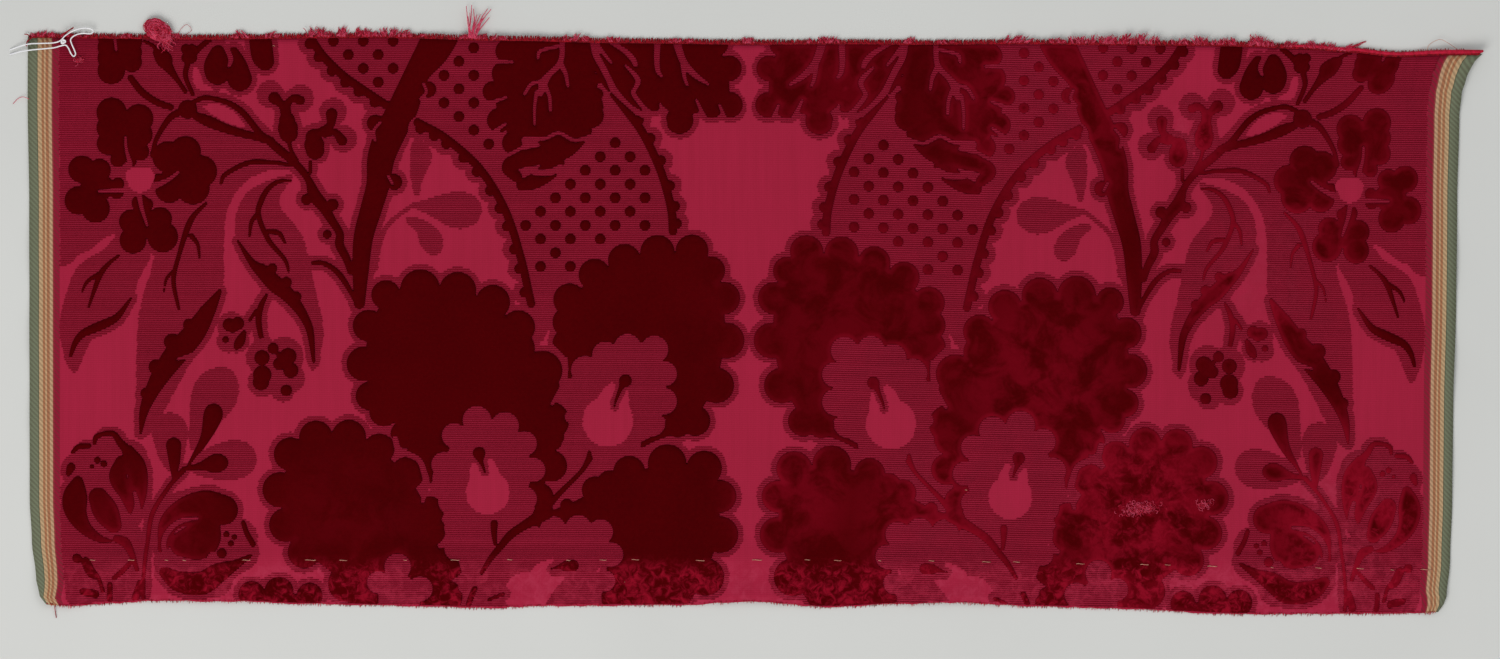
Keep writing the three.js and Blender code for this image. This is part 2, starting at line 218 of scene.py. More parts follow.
# The velvet's ground. One loom width of crimson silk satin, woven with the warps that make the pile,
# between two corded selvedges striped in green and peach. It was cut straight across at both ends.
# A place on it is given in loom coordinates: u across from the line that the pattern mirrors
# about, and v along the warp, both in mm.
HALF_LOOM = 273
GROUND_THICK = 0.7
GROUND_COLUMNS = 182
GROUND_ROWS = 74
MIRROR_LINE_X = 2.3
RIGHT_HALF_DRAWN_IN = 0.979
TOP_CUT = [
    (-273, 108.1), (-208, 107.4), (-143, 108.1), (-87, 106.8), (-49, 106.0), (0, 105.5), (58, 105.7),
    (116, 106.7), (186, 107.2), (213, 106.8), (231, 105.8), (247, 104.4), (263, 105.3), (273, 105.5),
]
BOTTOM_CUT = [
    (-273, -106.8), (-262, -107.6), (-242, -106.4), (-227, -105.5), (-196, -105.7), (-166, -106.8),
    (-120, -107.6), (-102, -108.3), (-75, -107.4), (-30, -107.2), (0, -105.8), (31, -107.9),
    (62, -106.4), (78, -105.7), (109, -106.5), (140, -106.8), (186, -108.1), (248, -106.9),
    (263, -106.2), (273, -105.9),
]
# How far each selvedge bows out, as v and mm out, and how fast that pull dies away inwards.
LEFT_BOW = [(-107, -7.1), (-105, -4.8), (-96, -3.1), (-83, -1.5), (-67, -0.7), (8, -0.6), (46, -0.5),
            (84, 0.1), (109, 0)]
RIGHT_BOW = [(-106, -6.6), (-103.5, -4.7), (-101, -3.4), (-86, -1.9), (-63, -1.1), (-26, -0.7),
             (12, 0.4), (50, 0.8), (82, 1.6), (90, 2.3), (97, 4.2), (103, 7.2), (106, 10.3)]
BOW_REACH = 22
ROW_DROOP = {"from_u": 30, "slope": 0.0195, "ease": 40}
# Where the cloth stands off the table: middle u and v, reach in u and in v, and height.
RISES = [
    (285, 112, 34, 34, 4.2), (-285, -116, 38, 34, 2.6), (283, -112, 26, 30, 1.6),
    (-118, -22, 62, 46, 0.7), (142, 30, 58, 52, 0.9), (-92, 112, 54, 22, 1.2),
    (150, 113, 70, 24, 1.5), (-206, -112, 40, 16, 1.3), (2, -112, 30, 18, 1.6), (78, -112, 34, 15, 1.4),
]
HEM_CREASE = {"v": -90.1, "reach": 8, "rise": 0.9, "ends_at_u": 262, "fades": 30}
# The selvedges cockle: side, pitch along v, phase, reach inwards and height.
COCKLES = [(-1, 33, 0.8, 12, 0.8), (1, 41, 2.1, 14, 1.0)]
COCKLES_END_V = 85


def along(table, place):
    """The second column of a table at a place along its first, eased between its rows."""
    places, values = np.array(table, float).T
    after = np.clip(np.searchsorted(places, place, side="right"), 1, len(places) - 1)
    start = places[after - 1]
    share = np.clip((place - start) / (places[after] - start), 0, 1)
    return values[after - 1] + (values[after] - values[after - 1]) * share * share * (3 - 2 * share)


def hump(distance, reach):
    """1 in the middle of a smooth hump, and 0 from its reach outwards."""
    share = np.minimum(1, np.abs(distance) / reach)
    return (1 - share * share) ** 2


def lift(u, v):
    """How high the underside stands over the table, in mm."""
    height = np.zeros(np.broadcast(u, v).shape)
    for middle_u, middle_v, reach_u, reach_v, rise in RISES:
        height += rise * hump(u - middle_u, reach_u) * hump(v - middle_v, reach_v)
    crease_ends = np.clip((HEM_CREASE["ends_at_u"] - np.abs(u)) / HEM_CREASE["fades"], 0, 1)
    height += HEM_CREASE["rise"] * hump(v - HEM_CREASE["v"], HEM_CREASE["reach"]) * crease_ends
    for side, pitch, phase, reach, rise in COCKLES:
        wave = 0.5 + 0.5 * np.cos(2 * np.pi * v / pitch + phase)
        height += rise * wave * hump(HALF_LOOM - side * u, reach) * hump(v, COCKLES_END_V)
    return height


def lay(u, v, above):
    """Where points of the cloth lie on the table, in metres. above is their height in the cloth."""
    u, v, above = (np.asarray(part, float) for part in (u, v, above))
    drawn = np.where(u > 0, u * RIGHT_HALF_DRAWN_IN, u)
    left_pull = np.exp(-np.maximum(0, HALF_LOOM + u) / BOW_REACH)
    right_pull = np.exp(-np.maximum(0, HALF_LOOM - u) / BOW_REACH)
    past = np.maximum(0, u - ROW_DROOP["from_u"])
    x = MIRROR_LINE_X + drawn - left_pull * along(LEFT_BOW, v) + right_pull * along(RIGHT_BOW, v)
    y = v - ROW_DROOP["slope"] * past * past / (past + ROW_DROOP["ease"])
    return np.stack(np.broadcast_arrays(x, y, above + lift(u, v)), axis=-1) * MM


def mesh_piece(name, points, faces, finish, loom_places=None):
    """A finished piece: a smooth mesh, with a map of loom coordinates in metres if they are given."""
    mesh = bpy.data.meshes.new(name)
    mesh.from_pydata([], [], [])
    mesh.vertices.add(len(points))
    mesh.vertices.foreach_set("co", np.ascontiguousarray(points, np.float32).ravel())
    corners = np.concatenate([np.ravel(group) for group in faces]).astype(np.int32)
    sizes = np.concatenate([np.full(len(group), group.shape[1]) for group in faces])
    mesh.loops.add(len(corners))
    mesh.loops.foreach_set("vertex_index", corners)
    mesh.polygons.add(len(sizes))
    mesh.polygons.foreach_set("loop_start", (np.cumsum(sizes) - sizes).astype(np.int32))
    mesh.polygons.foreach_set("use_smooth", np.ones(len(sizes), bool))
    if loom_places is not None:
        chart = mesh.uv_layers.new(name="loom")
        chart.data.foreach_set("uv", (loom_places[corners] * MM).astype(np.float32).ravel())
    mesh.update(calc_edges=True)
    mesh.validate()
    mesh.materials.append(finish)
    piece = bpy.data.objects.new(name, mesh)
    bpy.context.collection.objects.link(piece)
    return piece


# Wear is the same on the ground and on the pile that stands on it: crushed below the old hem crease,
# rubbed on the right half, and clean at the upper left. Each place is u, v, reach and strength, and
# is worn to its full strength within a share of its reach.
RUBBED = [
    (150, -68, 60, 0.95), (112, -20, 62, 0.62), (232, -72, 56, 1.0), (200, 25, 56, 0.75),
    (75, -70, 56, 0.65), (255, 70, 60, 0.4), (115, 84, 66, 0.6), (50, 5, 84, 0.4), (30, 92, 44, 0.4),
    (-228, -82, 34, 0.45), (-150, -78, 40, 0.2), (18, -66, 36, 0.6), (170, 74, 22, 0.95),
]
FULL_WITHIN = 0.2
CRUSHED_HEM = {"from_y": -87.0, "to_y": -96.0}
WORN_CLOUDS = {"scale": 85.0, "none_at": 0.37, "full_at": 0.61}
CRUSHED_SPECKS = {"scale": 310.0, "none_at": 0.64, "full_at": 0.94, "drift": 0.5, "where_rubbed": 0.8}


def wear_of(tree, place):
    """How far the silk is rubbed all over, how far in clouds, and how far it is crushed, in specks."""
    height = node(tree, "ShaderNodeSeparateXYZ", {"Vector": place}).outputs["Y"]
    hem = eased(tree, height, CRUSHED_HEM["from_y"] * MM, CRUSHED_HEM["to_y"] * MM)
    rubbed = 0.0
    for u, v, reach, strength in RUBBED:
        away = node(tree, "ShaderNodeVectorMath", {0: place, 1: tuple(lay(u, v, 0))}, operation="DISTANCE")
        near = eased(tree, away.outputs["Value"], reach * MM, FULL_WITHIN * reach * MM, strength)
        rubbed = math_node(tree, "MAXIMUM", rubbed, near)
    drift = clouds_of(tree, place, WORN_CLOUDS["scale"], 5.0, 0.6, 0.5)
    specks = clouds_of(tree, place, CRUSHED_SPECKS["scale"], 4.0, 0.68, 0.8)
    cloud = eased(tree, drift, WORN_CLOUDS["none_at"], WORN_CLOUDS["full_at"])
    specks = math_node(tree, "MULTIPLY_ADD", drift, CRUSHED_SPECKS["drift"], specks)
    fleck = eased(tree, specks, CRUSHED_SPECKS["none_at"], CRUSHED_SPECKS["full_at"])
    most_rubbed = math_node(tree, "POWER", rubbed, 4.0)
    crush = math_node(tree, "MULTIPLY_ADD", most_rubbed, CRUSHED_SPECKS["where_rubbed"], hem)
    return rubbed, math_node(tree, "MULTIPLY", rubbed, cloud), math_node(tree, "MULTIPLY", crush, fleck)


# Bands in from either selvedge, each as its width in mm and its colour.
SELVEDGE_BANDS = [
    (3.4, (114, 121, 98)), (0.3, (84, 92, 72)), (1.5, (192, 160, 122)), (0.9, (172, 116, 82)),
    (0.6, (196, 160, 122)), (1.1, (168, 112, 80)), (1.2, (192, 154, 120)), (0.5, (148, 54, 58)),
    (2.2, (142, 18, 48)),
]
# The selvedges roll under at their lower corners, which hides the outer bands there.
ROLLED_UNDER = {"from_v": -97, "to_v": -107, "hides": 2.6}
GROUND_PINK = paint_colour(168, 31, 63)
GROUND_DEEP = paint_colour(142, 23, 47)
GROUND_RUBBED = paint_colour(150, 28, 53)
GROUND_CRUSHED = paint_colour(172, 46, 74)
TWILL_SHADOW = paint_colour(66, 50, 40)
WEAVE = {"weft": 390.0, "warp": 520.0, "twill": 330.0, "uneven": 400.0, "streaks": (420, 26, 1),
         "clouds": 28.0}

silk_ground, tree, shader = new_finish("crimson_silk_ground")
loom_map = node(tree, "ShaderNodeUVMap", uv_map="loom").outputs[0]
table_place = node(tree, "ShaderNodeTexCoord").outputs["Object"]
loom_parts = node(tree, "ShaderNodeSeparateXYZ", {"Vector": loom_map}).outputs
from_edge = math_node(tree, "SUBTRACT", HALF_LOOM * MM, math_node(tree, "ABSOLUTE", loom_parts["X"]))
hidden = eased(tree, loom_parts["Y"], ROLLED_UNDER["from_v"] * MM, ROLLED_UNDER["to_v"] * MM,
               ROLLED_UNDER["hides"] * MM)
from_edge = math_node(tree, "ADD", from_edge, hidden)
bands_wide = sum(wide for wide, _ in SELVEDGE_BANDS)
ramp_place = math_node(tree, "DIVIDE", from_edge, bands_wide * MM)
bands = node(tree, "ShaderNodeValToRGB", {"Fac": ramp_place})
bands.color_ramp.interpolation = "CONSTANT"
start = 0
for number, (wide, colour) in enumerate(SELVEDGE_BANDS):
    stops = bands.color_ramp.elements
    stop = stops[number] if number < 2 else stops.new(start / bands_wide)
    stop.position = start / bands_wide
    stop.color = paint_colour(*colour)
    start += wide
in_bands = math_node(tree, "LESS_THAN", from_edge, bands_wide * MM)
weft = bands_of(tree, loom_map, WEAVE["weft"], "Y", 0.6, 1.0, WEAVE["uneven"])
warp = bands_of(tree, loom_map, WEAVE["warp"], "X", 0.8, 1.0, WEAVE["uneven"])
twill = bands_of(tree, loom_map, WEAVE["twill"], "DIAGONAL", 1.0)
weave = math_node(tree, "MULTIPLY_ADD", weft, 0.55, math_node(tree, "MULTIPLY", warp, 0.45))
drawn_out = node(tree, "ShaderNodeMapping", {"Vector": loom_map, "Scale": WEAVE["streaks"]}).outputs[0]
streaks = clouds_of(tree, drawn_out, 1.0, 3.0)
tone = math_node(tree, "MULTIPLY_ADD", weave, 0.45, math_node(tree, "MULTIPLY", streaks, 0.5))
tone = math_node(tree, "MULTIPLY_ADD", clouds_of(tree, table_place, WEAVE["clouds"], 4.0), 0.3, tone)
pink = mixed(tree, tone, GROUND_DEEP, GROUND_PINK)
_, worn, crush = wear_of(tree, table_place)
pink = mixed(tree, math_node(tree, "MULTIPLY", worn, 0.7), pink, GROUND_RUBBED)
pink = mixed(tree, math_node(tree, "MULTIPLY", crush, 0.6), pink, GROUND_CRUSHED)
banded = mixed(tree, math_node(tree, "MULTIPLY", twill, 0.4), bands.outputs["Color"], TWILL_SHADOW)
relief = math_node(tree, "MULTIPLY_ADD", math_node(tree, "MULTIPLY", twill, in_bands), 0.9, weave)
coat(tree, shader, mixed(tree, in_bands, pink, banded), relief, 0.35, 0.12, 0.7, 0.08, 0.05)
shader.inputs["Sheen Tint"].default_value = (0.8, 0.12, 0.2, 1)

# The cut ends are a little ragged, thread by thread.
RAGGED_TOP = (-0.22, 0.22)
RAGGED_BOTTOM = (-0.35, 0.25)
chance = random.Random(11)
ragged_top = [chance.uniform(*RAGGED_TOP) for _ in range(GROUND_COLUMNS + 1)]
ragged_bottom = [chance.uniform(*RAGGED_BOTTOM) for _ in range(GROUND_COLUMNS + 1)]
column_u = np.linspace(-HALF_LOOM, HALF_LOOM, GROUND_COLUMNS + 1)
top_v = along(TOP_CUT, column_u) + ragged_top
bottom_v = along(BOTTOM_CUT, column_u) + ragged_bottom
row_share = np.linspace(0, 1, GROUND_ROWS + 1)[:, None]
grid_v = bottom_v + (top_v - bottom_v) * row_share
grid_u = np.broadcast_to(column_u, grid_v.shape)
ground_points = np.concatenate([lay(grid_u, grid_v, above).reshape(-1, 3)
                                for above in (0, GROUND_THICK)])
ground_places = np.tile(np.stack([grid_u, grid_v], axis=-1).reshape(-1, 2), (2, 1))
grid = np.arange(grid_v.size).reshape(grid_v.shape)
upper = grid + grid_v.size
quads = [np.stack([upper[:-1, :-1], upper[:-1, 1:], upper[1:, 1:], upper[1:, :-1]], axis=-1),
         np.stack([grid[:-1, :-1], grid[1:, :-1], grid[1:, 1:], grid[:-1, 1:]], axis=-1)]
rim = np.concatenate([grid[0, :-1], grid[:-1, -1], grid[-1, :0:-1], grid[:0:-1, 0]])
rim_next = np.roll(rim, -1)
rim_quads = np.stack([rim, rim_next, rim_next + grid_v.size, rim + grid_v.size], axis=-1)
ground = mesh_piece("velvet_ground", ground_points,
                    [np.concatenate([*(q.reshape(-1, 4) for q in quads), rim_quads])],
                    silk_ground, ground_places)
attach(ground, "root")
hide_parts("velvet_cloth")


# The figure. The loom draws one half of the design, and mirrors it about the middle line. Each figure
# is woven as uncut loops, as cut pile with a rim of loops round it, or as bare ground, one over
# another in the order below. Cut pile is drawn wider than its warps by that rim.
LOOP_RIM = 1.9
CHART_PITCH = 0.5
FAR = 9.0
CHART_TO_V = 113
THINNEST = 0.3
PATCH_POINTS = 5
STEM_POINTS = 12
chart_u, chart_v = np.meshgrid(np.arange(-HALF_LOOM - 1, 0.1, CHART_PITCH),
                               np.arange(-CHART_TO_V, CHART_TO_V + 0.1, CHART_PITCH))
to_loops = np.full(chart_u.shape, FAR)
to_cut = np.full(chart_u.shape, FAR)


def window(low_u, high_u, low_v, high_v):
    """The rows and columns of the chart round a figure."""
    def part(low, high, first, count):
        return slice(max(0, int((low - FAR / 2 - first) / CHART_PITCH)),
                     min(count, int((high + FAR / 2 - first) / CHART_PITCH) + 1))
    return (part(low_v, high_v, chart_v[0, 0], chart_v.shape[0]),
            part(low_u, high_u, chart_u[0, 0], chart_u.shape[1]))


def discs_edge(discs):
    """How far each point of the chart is outside a group of discs, each u, v and radius."""
    edge = np.full(chart_u.shape, FAR)
    for u, v, radius in discs:
        near = window(u - radius, u + radius, v - radius, v + radius)
        edge[near] = np.minimum(edge[near], np.hypot(chart_u[near] - u, chart_v[near] - v) - radius)
    return edge


def outline_edge(outline):
    """How far each point of the chart is outside a closed outline."""
    edge = np.full(chart_u.shape, FAR)
    corners = np.array(outline, float)
    near = window(*(f(corners[:, axis]) for axis in (0, 1) for f in (np.min, np.max)))
    u, v = chart_u[near], chart_v[near]
    nearest = np.full(u.shape, FAR * FAR)
    inside = np.zeros(u.shape, bool)
    for (u0, v0), (u1, v1) in zip(corners, np.roll(corners, -1, axis=0)):
        run, rise = u1 - u0, v1 - v0
        share = np.clip(((u - u0) * run + (v - v0) * rise) / max(run * run + rise * rise, 1e-9), 0, 1)
        nearest = np.minimum(nearest, (u - u0 - share * run) ** 2 + (v - v0 - share * rise) ** 2)
        if rise:
            inside ^= ((v0 > v) != (v1 > v)) & (u < u0 + (v - v0) * run / rise)
    edge[near] = np.where(inside, -1, 1) * np.sqrt(nearest)
    return edge


def weave_in(kind, edge, rim=LOOP_RIM):
    """Weaves a figure over what the chart already has."""
    global to_loops, to_cut
    if kind == "cut":
        to_cut = np.minimum(to_cut, edge)
        to_loops = np.minimum(to_loops, edge - rim)
    elif kind == "loops":
        to_cut = np.maximum(to_cut, -edge)
        to_loops = np.minimum(to_loops, edge)
    else:
        to_cut = np.maximum(to_cut, -edge)
        to_loops = np.maximum(to_loops, -edge)
    return edge


def patch(kind, *corners):
    """A figure with a smooth outline through a few corners."""
    ring = [corners[-1], *corners, corners[0], corners[1]]
    line = smooth_line(ring, PATCH_POINTS)[PATCH_POINTS:-PATCH_POINTS]
    return weave_in(kind, outline_edge(line))


def stem(kind, *route, rim=LOOP_RIM):
    """A line that swells and thins: u, v and width at each point of its route."""
    line = smooth_line(route, STEM_POINTS)
    line[:, 2] = np.maximum(line[:, 2], THINNEST)
    return weave_in(kind, discs_edge([(u, v, wide / 2) for u, v, wide in line]), rim)


def scalloped(kind, *lobes, rim=LOOP_RIM):
    """A flower or leaf with round lobes: u, v and radius of each lobe in turn round its edge."""
    body = outline_edge([(u, v) for u, v, _ in lobes])
    return weave_in(kind, np.minimum(body, discs_edge(lobes)), rim)


def spots(kind, *discs, rim=LOOP_RIM):
    return weave_in(kind, discs_edge(discs), rim)


# The ground of loops behind the flower sprays at the selvedge, and its first two long leaves.
patch("loops", (-264, 112), (-209, 112), (-208.5, 90), (-192, 82.5), (-171, 59.5), (-188, 55),
      (-198, 40), (-200, 4), (-213, -18), (-230, -44), (-231.5, 0), (-226, 25), (-240, 33.5),
      (-256, 22.7), (-264, 30))
patch("loops", (-256.5, 17.5), (-261.5, -3), (-256, -19.5), (-249, -7), (-237, 1), (-226.5, 25),
      (-239, 32), (-250, 24.3))
stem("ground", (-240.2, 33.2, 1), (-245.2, 28.2, 2.2), (-250, 25.8, 2.2), (-254, 23.8, 2.6),
     (-256.1, 20.4, 2), (-260, 15, 2))
stem("ground", (-225.6, 24.8, 0.8), (-228.3, 19.7, 1.8), (-230.7, 14.3, 2), (-232, 5, 3))
stem("ground", (-172.5, 56.8, 0.8), (-178, 57.2, 1.4), (-183.5, 55.8, 2), (-188.5, 52.3, 2.6),
     (-192.7, 48, 3), (-195.6, 42.5, 3.6), (-196.6, 36, 4), (-196.3, 28, 4))
# The third long leaf, beside the trunk.
patch("loops", (-194.6, 33), (-190, 49), (-173, 55.6), (-178, 45), (-169, 32), (-164.5, 13),
      (-161, -4.6), (-165.4, -18.8), (-171, -1), (-185, 14))
# The two fields of spots behind the trunk and the hanging leaves, and the loops in the lower corner.
spotted_left = patch("loops", (-166, 112), (-161, 101), (-148, 89.5), (-137.8, 81.5), (-129.6, 94.4),
                     (-121, 112))
spotted_right = patch("loops", (-107, 112), (-121, 90), (-127.5, 76.5), (-102, 58), (-87, 27),
                      (-80, -8), (-68, 12), (-45, 22), (-30, 34), (-31.5, 52), (-51, 85), (-60, 112))
patch("loops", (-264, -76), (-230.5, -78), (-230.5, -112), (-264, -112))
patch("loops", (-62, 112), (-44, 112), (-39.5, 84), (-40, 75.5), (-52, 86))
# The loops behind the flowers in the middle.
patch("loops", (-121, -60), (-104, -92), (-62, -97), (-54, -80), (-50, -58), (-38, -47), (-55, -22),
      (-68, -14), (-80, -45), (-100, -48))

# The flower with four cut petals.
scalloped("cut", (-241.3, 79.3, 5.8), (-231, 77, 5.6), (-230.6, 71, 4.9), (-230.5, 64.5, 3.5),
          (-234, 60.8, 2.2), (-239, 61.5, 3), (-242.7, 67.5, 4.4), (-242, 73.5, 5.1))
scalloped("cut", (-252.7, 57.8, 5.3), (-254, 46, 5.5), (-247.5, 43, 5.5), (-239.5, 49.5, 3),
          (-239, 52.3, 2.5), (-246, 57.5, 4.4))
scalloped("cut", (-220, 62.5, 6), (-213.4, 64.5, 6), (-207.5, 57, 6.2), (-210.5, 50.8, 6.4),
          (-219.5, 50.5, 5.5), (-223.5, 53.3, 3))
scalloped("cut", (-230.5, 45, 3.4), (-234, 38, 4.7), (-233.3, 31, 5.2), (-222, 32.2, 5.9), (-223, 39, 4.6),
          (-228, 44.5, 2.5))
stem("loops", (-236.1, 70.1, 0.8), (-235.8, 65.4, 1), (-234.3, 60, 1.6))
stem("loops", (-246, 49.5, 1.2), (-237, 49.8, 1.6))
stem("loops", (-216.2, 56.6, 1), (-220, 53.8, 1.4), (-225.6, 51.2, 2.4))
stem("loops", (-231, 48.5, 1.8), (-230, 43.1, 1.4), (-227.9, 36.6, 0.8))
spots("ground", (-230.7, 53.6, 4.7), (-233, 55, 3.2), (-228.3, 55.2, 3.2))
# The flower that the top cut runs through, with its twigs, buds and the knot where they meet.
scalloped("cut", *((-241.4, v, 5.3) for v in (112, 108, 104, 100, 95.2)),
          *((-233.6, v, 3.9) for v in (98.4, 102, 106, 112)))
stem("loops", (-240.2, 108.5, 1), (-239.6, 103, 0.8))
stem("cut", (-234.1, 92.4, 2.6), (-229.7, 87, 2.9), (-224.3, 83.3, 2.8), (-218.9, 81.3, 2.6), rim=0)
stem("cut", (-229, 106.3, 1.4), (-226, 104.8, 1.6), (-224, 103, 1.9), rim=0)
stem("cut", (-223.5, 102, 4.6), (-221.5, 99.5, 6.4), (-220.5, 97.5, 4.6), (-216.9, 92.4, 2.3),
     (-213.4, 87.3, 1.9), rim=0)
stem("cut", (-211, 100.5, 2.6), (-207.8, 104, 2.4), (-203.5, 107.5, 2.2), rim=0)
scalloped("cut", (-213.2, 103.4, 2), (-211, 103.4, 2), (-211, 100, 2.2), (-212.8, 100, 2.2), rim=0)
stem("cut", (-212.5, 98, 2.4), (-213.3, 93, 2.1), (-210.6, 86.2, 1.8), rim=0)
spots("cut", (-212.5, 80.5, 3.7))
stem("cut", (-210.3, 83.3, 2), (-206.3, 84.9, 2.1), (-201.6, 84.3, 2.1), (-196.2, 82.5, 2.3),
     (-191.7, 79.3, 2.6), (-188, 74.9, 2.6), (-184.6, 70.7, 3), (-181, 68.3, 3.6))
stem("cut", (-209, 77.8, 3.4), (-204.5, 75.9, 4.4), (-199, 73.6, 3.8), (-193, 71.7, 3.4),
     (-187.5, 70.3, 3), (-183.4, 69, 2.8))
stem("cut", (-216.2, 79.2, 3), (-219.6, 76.9, 2.6), (-224.3, 69.4, 2), (-226.1, 63, 1.6), rim=0)
stem("ground", (-206.2, 81.6, 1), (-201, 79.9, 4.8), (-196.3, 77.4, 5), (-191.4, 74.2, 1.4))
# The main bough, its thorns and twigs.
stem("cut", (-182.7, 69.4, 3), (-178, 65.4, 3.6), (-173.2, 61.3, 3.2), (-169.2, 57.3, 3),
     (-166.5, 53.2, 3), (-164.4, 47.8, 5), (-161.1, 43.7, 4.5), (-158.3, 39, 3.5), (-155, 33.6, 3.2),
     (-155, 29.2, 3.6), (-152.3, 23.8, 3.2), (-150.9, 19, 2.5))
spots("cut", (-167.5, 46.4, 2.2), (-157.7, 44.4, 2.4), (-159.7, 33.2, 1.8))
stem("cut", (-199.9, 52.5, 1.4), (-198.2, 55.9, 2), (-189.4, 60.3, 2.2), (-180, 60.3, 2),
     (-172.5, 59.3, 1.3), rim=1.2)
stem("cut", (-165.1, 22.4, 1.8), (-161.7, 22.4, 2), (-157.7, 20.4, 2.2), (-154.3, 17, 2.4),
     (-150.9, 11.6, 2), (-148.9, 7.5, 1.5))
# Two curled buds: a body with a curl to each side.
BUDS = [
    ((-174.6, 73.4), [(-6.7, 12.8), (4.7, 11.2)],
     [[(-0.9, 5.4, 4), (-1.5, 8, 3.6), (-3.3, 9.8, 3.4), (-5.1, 11.4, 4.8)],
      [(-0.6, 5.4, 4), (-0.5, 8.3, 3.4), (0.6, 10.2, 2.8), (2.5, 11.3, 3.2), (4.7, 10.5, 3.8)]]),
    ((-164.6, 67), [(7.1, 12.6), (10.9, 2.3)],
     [[(0.4, 4, 3.6), (2.9, 5.2, 3.4), (6.1, 7.6, 3.2), (6.6, 11.8, 4.6)],
      [(4, 3.9, 2.6), (7.8, 4.8, 2.8), (10.6, 1.6, 4)]]),
]
for (u, v), rounds, curls in BUDS:
    spots("loops", (u, v, 5.6), *((u + out, v + up, 5.2) for out, up in rounds))
    for curl in curls:
        stem("cut", *((u + out, v + up, wide) for out, up, wide in curl))
    spots("cut", (u - 0.3, v + 3, 3.1), (u, v, 3.9), (u + 0.3, v - 2, 3.6))
stem("cut", (-174.2, 68.1, 1.8), (-173.2, 64.7, 1.6), (-171.2, 61.3, 1.6))
stem("cut", (-166.1, 60.6, 1.6), (-166.1, 56.6, 1.6))
# The heart-shaped flower at the top cut.
stem("cut", (-201, 101.6, 6.4), (-201.6, 97, 9.6), (-201.2, 94.6, 9.8))
stem("cut", (-195.2, 101.8, 4.6), (-194, 97, 8), (-192.8, 92, 9.4))
stem("cut", (-185.3, 110, 8.6), (-184.3, 101.5, 8.6), (-183.2, 98.6, 7))
stem("loops", (-199.2, 106, 1.6), (-196.8, 101.5, 1.8), (-196.2, 99, 1.6), (-196.9, 96.9, 1))
patch("ground", (-210.4, 96.3), (-208.1, 95), (-206.7, 90.6), (-203, 88.2), (-208, 87.8), (-210.4, 91))
# Veins of the long leaves.
stem("cut", (-205.7, 44.8, 1.5), (-210.1, 40.4, 2.2), (-212.5, 35.9, 2.6), (-215.5, 26.5, 2),
     (-217.9, 16.3, 2), (-216.5, 7.5, 1.6), (-215.5, 3.8, 1), rim=0)
stem("cut", (-211.1, 32.6, 2.2), (-208.7, 29.2, 1.6), (-208.1, 24.4, 1.2), rim=0)
stem("cut", (-218.2, 19, 1.6), (-220.6, 16.3, 1.4), (-221.6, 11.6, 1), rim=0)
stem("cut", (-238.8, 25.1, 1.4), (-242.5, 22.1, 1.8), (-245.9, 17.7, 2.4), (-249.6, 7.5, 1.4),
     (-250.3, 5.2, 1), rim=0)
stem("cut", (-245.9, 18.4, 2), (-250.7, 15.3, 1.6), (-253, 10.9, 1), rim=0)
stem("cut", (-234.1, 8.9, 1.2), (-239.2, 2.1, 2.8), (-243.9, -0.6, 3.6), (-248.6, -2.6, 3.6),
     (-252.7, -4.6, 3), (-255.4, -8, 2.4), (-257.1, -12.7, 1.6))
stem("cut", (-173.6, 53.5, 1.2), (-178, 53.2, 1.8), (-182, 50.5, 2.2), (-184.7, 45.8, 2.4),
     (-185.7, 40.4, 2.2), (-182, 31.2, 2.2), (-175.9, 23.8, 1.8), (-174.2, 19, 1.2), rim=0)
stem("cut", (-186.1, 41, 2), (-188.4, 37.7, 1.8), (-189.1, 32.6, 1.2), rim=0)
stem("cut", (-182, 34.3, 2), (-178, 33.6, 2), (-175.6, 29.9, 1.2), rim=0)
stem("cut", (-193.5, 30.5, 1.2), (-188.1, 22.4, 3), (-184, 19, 5.5), (-179.3, 14.3, 6.5),
     (-175.2, 10.9, 5.8), (-171.2, 6.2, 4.5), (-168.2, 1.5, 3.6), (-166.1, -3.9, 3), (-164.8, -14.8, 1.6))
spots("cut", (-180.5, 20.3, 2), (-175.2, 15, 2.2), (-171.3, 9.6, 2))
# The notched leaf that hangs from the selvedge spray: a spine with teeth on its outer side.
stem("cut", (-200.5, 11.5, 2), (-205, 4, 6), (-210, -4, 8.5), (-216.5, -11.5, 9), (-222, -19, 7.5),
     (-226.5, -27, 5.4), (-229.2, -34, 3.6), (-230.4, -42, 1.2))
spots("cut", (-206, 4, 2.4), (-212, -1, 2.4), (-218.5, -7.5, 3.2), (-224.5, -17, 3), (-228.4, -27, 2.2))
stem("loops", (-216.2, -14.1, 0.9), (-211.5, -12.6, 1.2))
# Two bell buds on bent stems.
stem("cut", (-182.7, 10.2, 1.4), (-184.7, 6.2, 2.4), (-185.7, 1.5, 2.6), (-185.1, -3.9, 2.2), (-184, -8, 2))
stem("cut", (-186.7, 4.2, 1.6), (-189.4, 0.1, 1.4), (-191.5, -3.3, 1.2))
scalloped("loops", (-196, -1.6, 5.4), (-193.5, -2.5, 4.8), (-194, -7, 4.8), (-197, -7.2, 4.6))
scalloped("cut", (-196.8, -1, 2.6), (-193.6, -0.6, 2.6), (-195.5, -1.8, 2.4), rim=0)
stem("cut", (-191.2, -4, 2), (-192.8, -7.5, 4), (-194, -9.5, 2.4), rim=0)
spots("cut", (-198.2, -6.7, 1.4), rim=0)
scalloped("loops", (-183.5, -13.3, 7), (-176, -13, 7.3), (-174.8, -21, 6.6), (-176.5, -26, 4.4),
          (-184.5, -23, 5.4))
scalloped("cut", (-184.4, -13.5, 3), (-184.3, -20, 3.6), (-184.8, -22.8, 3.2), rim=0)
scalloped("cut", (-180.2, -10, 2.2), (-174.5, -13, 3.3), (-173.5, -18.3, 3), (-177.8, -15.8, 2.5), rim=0)
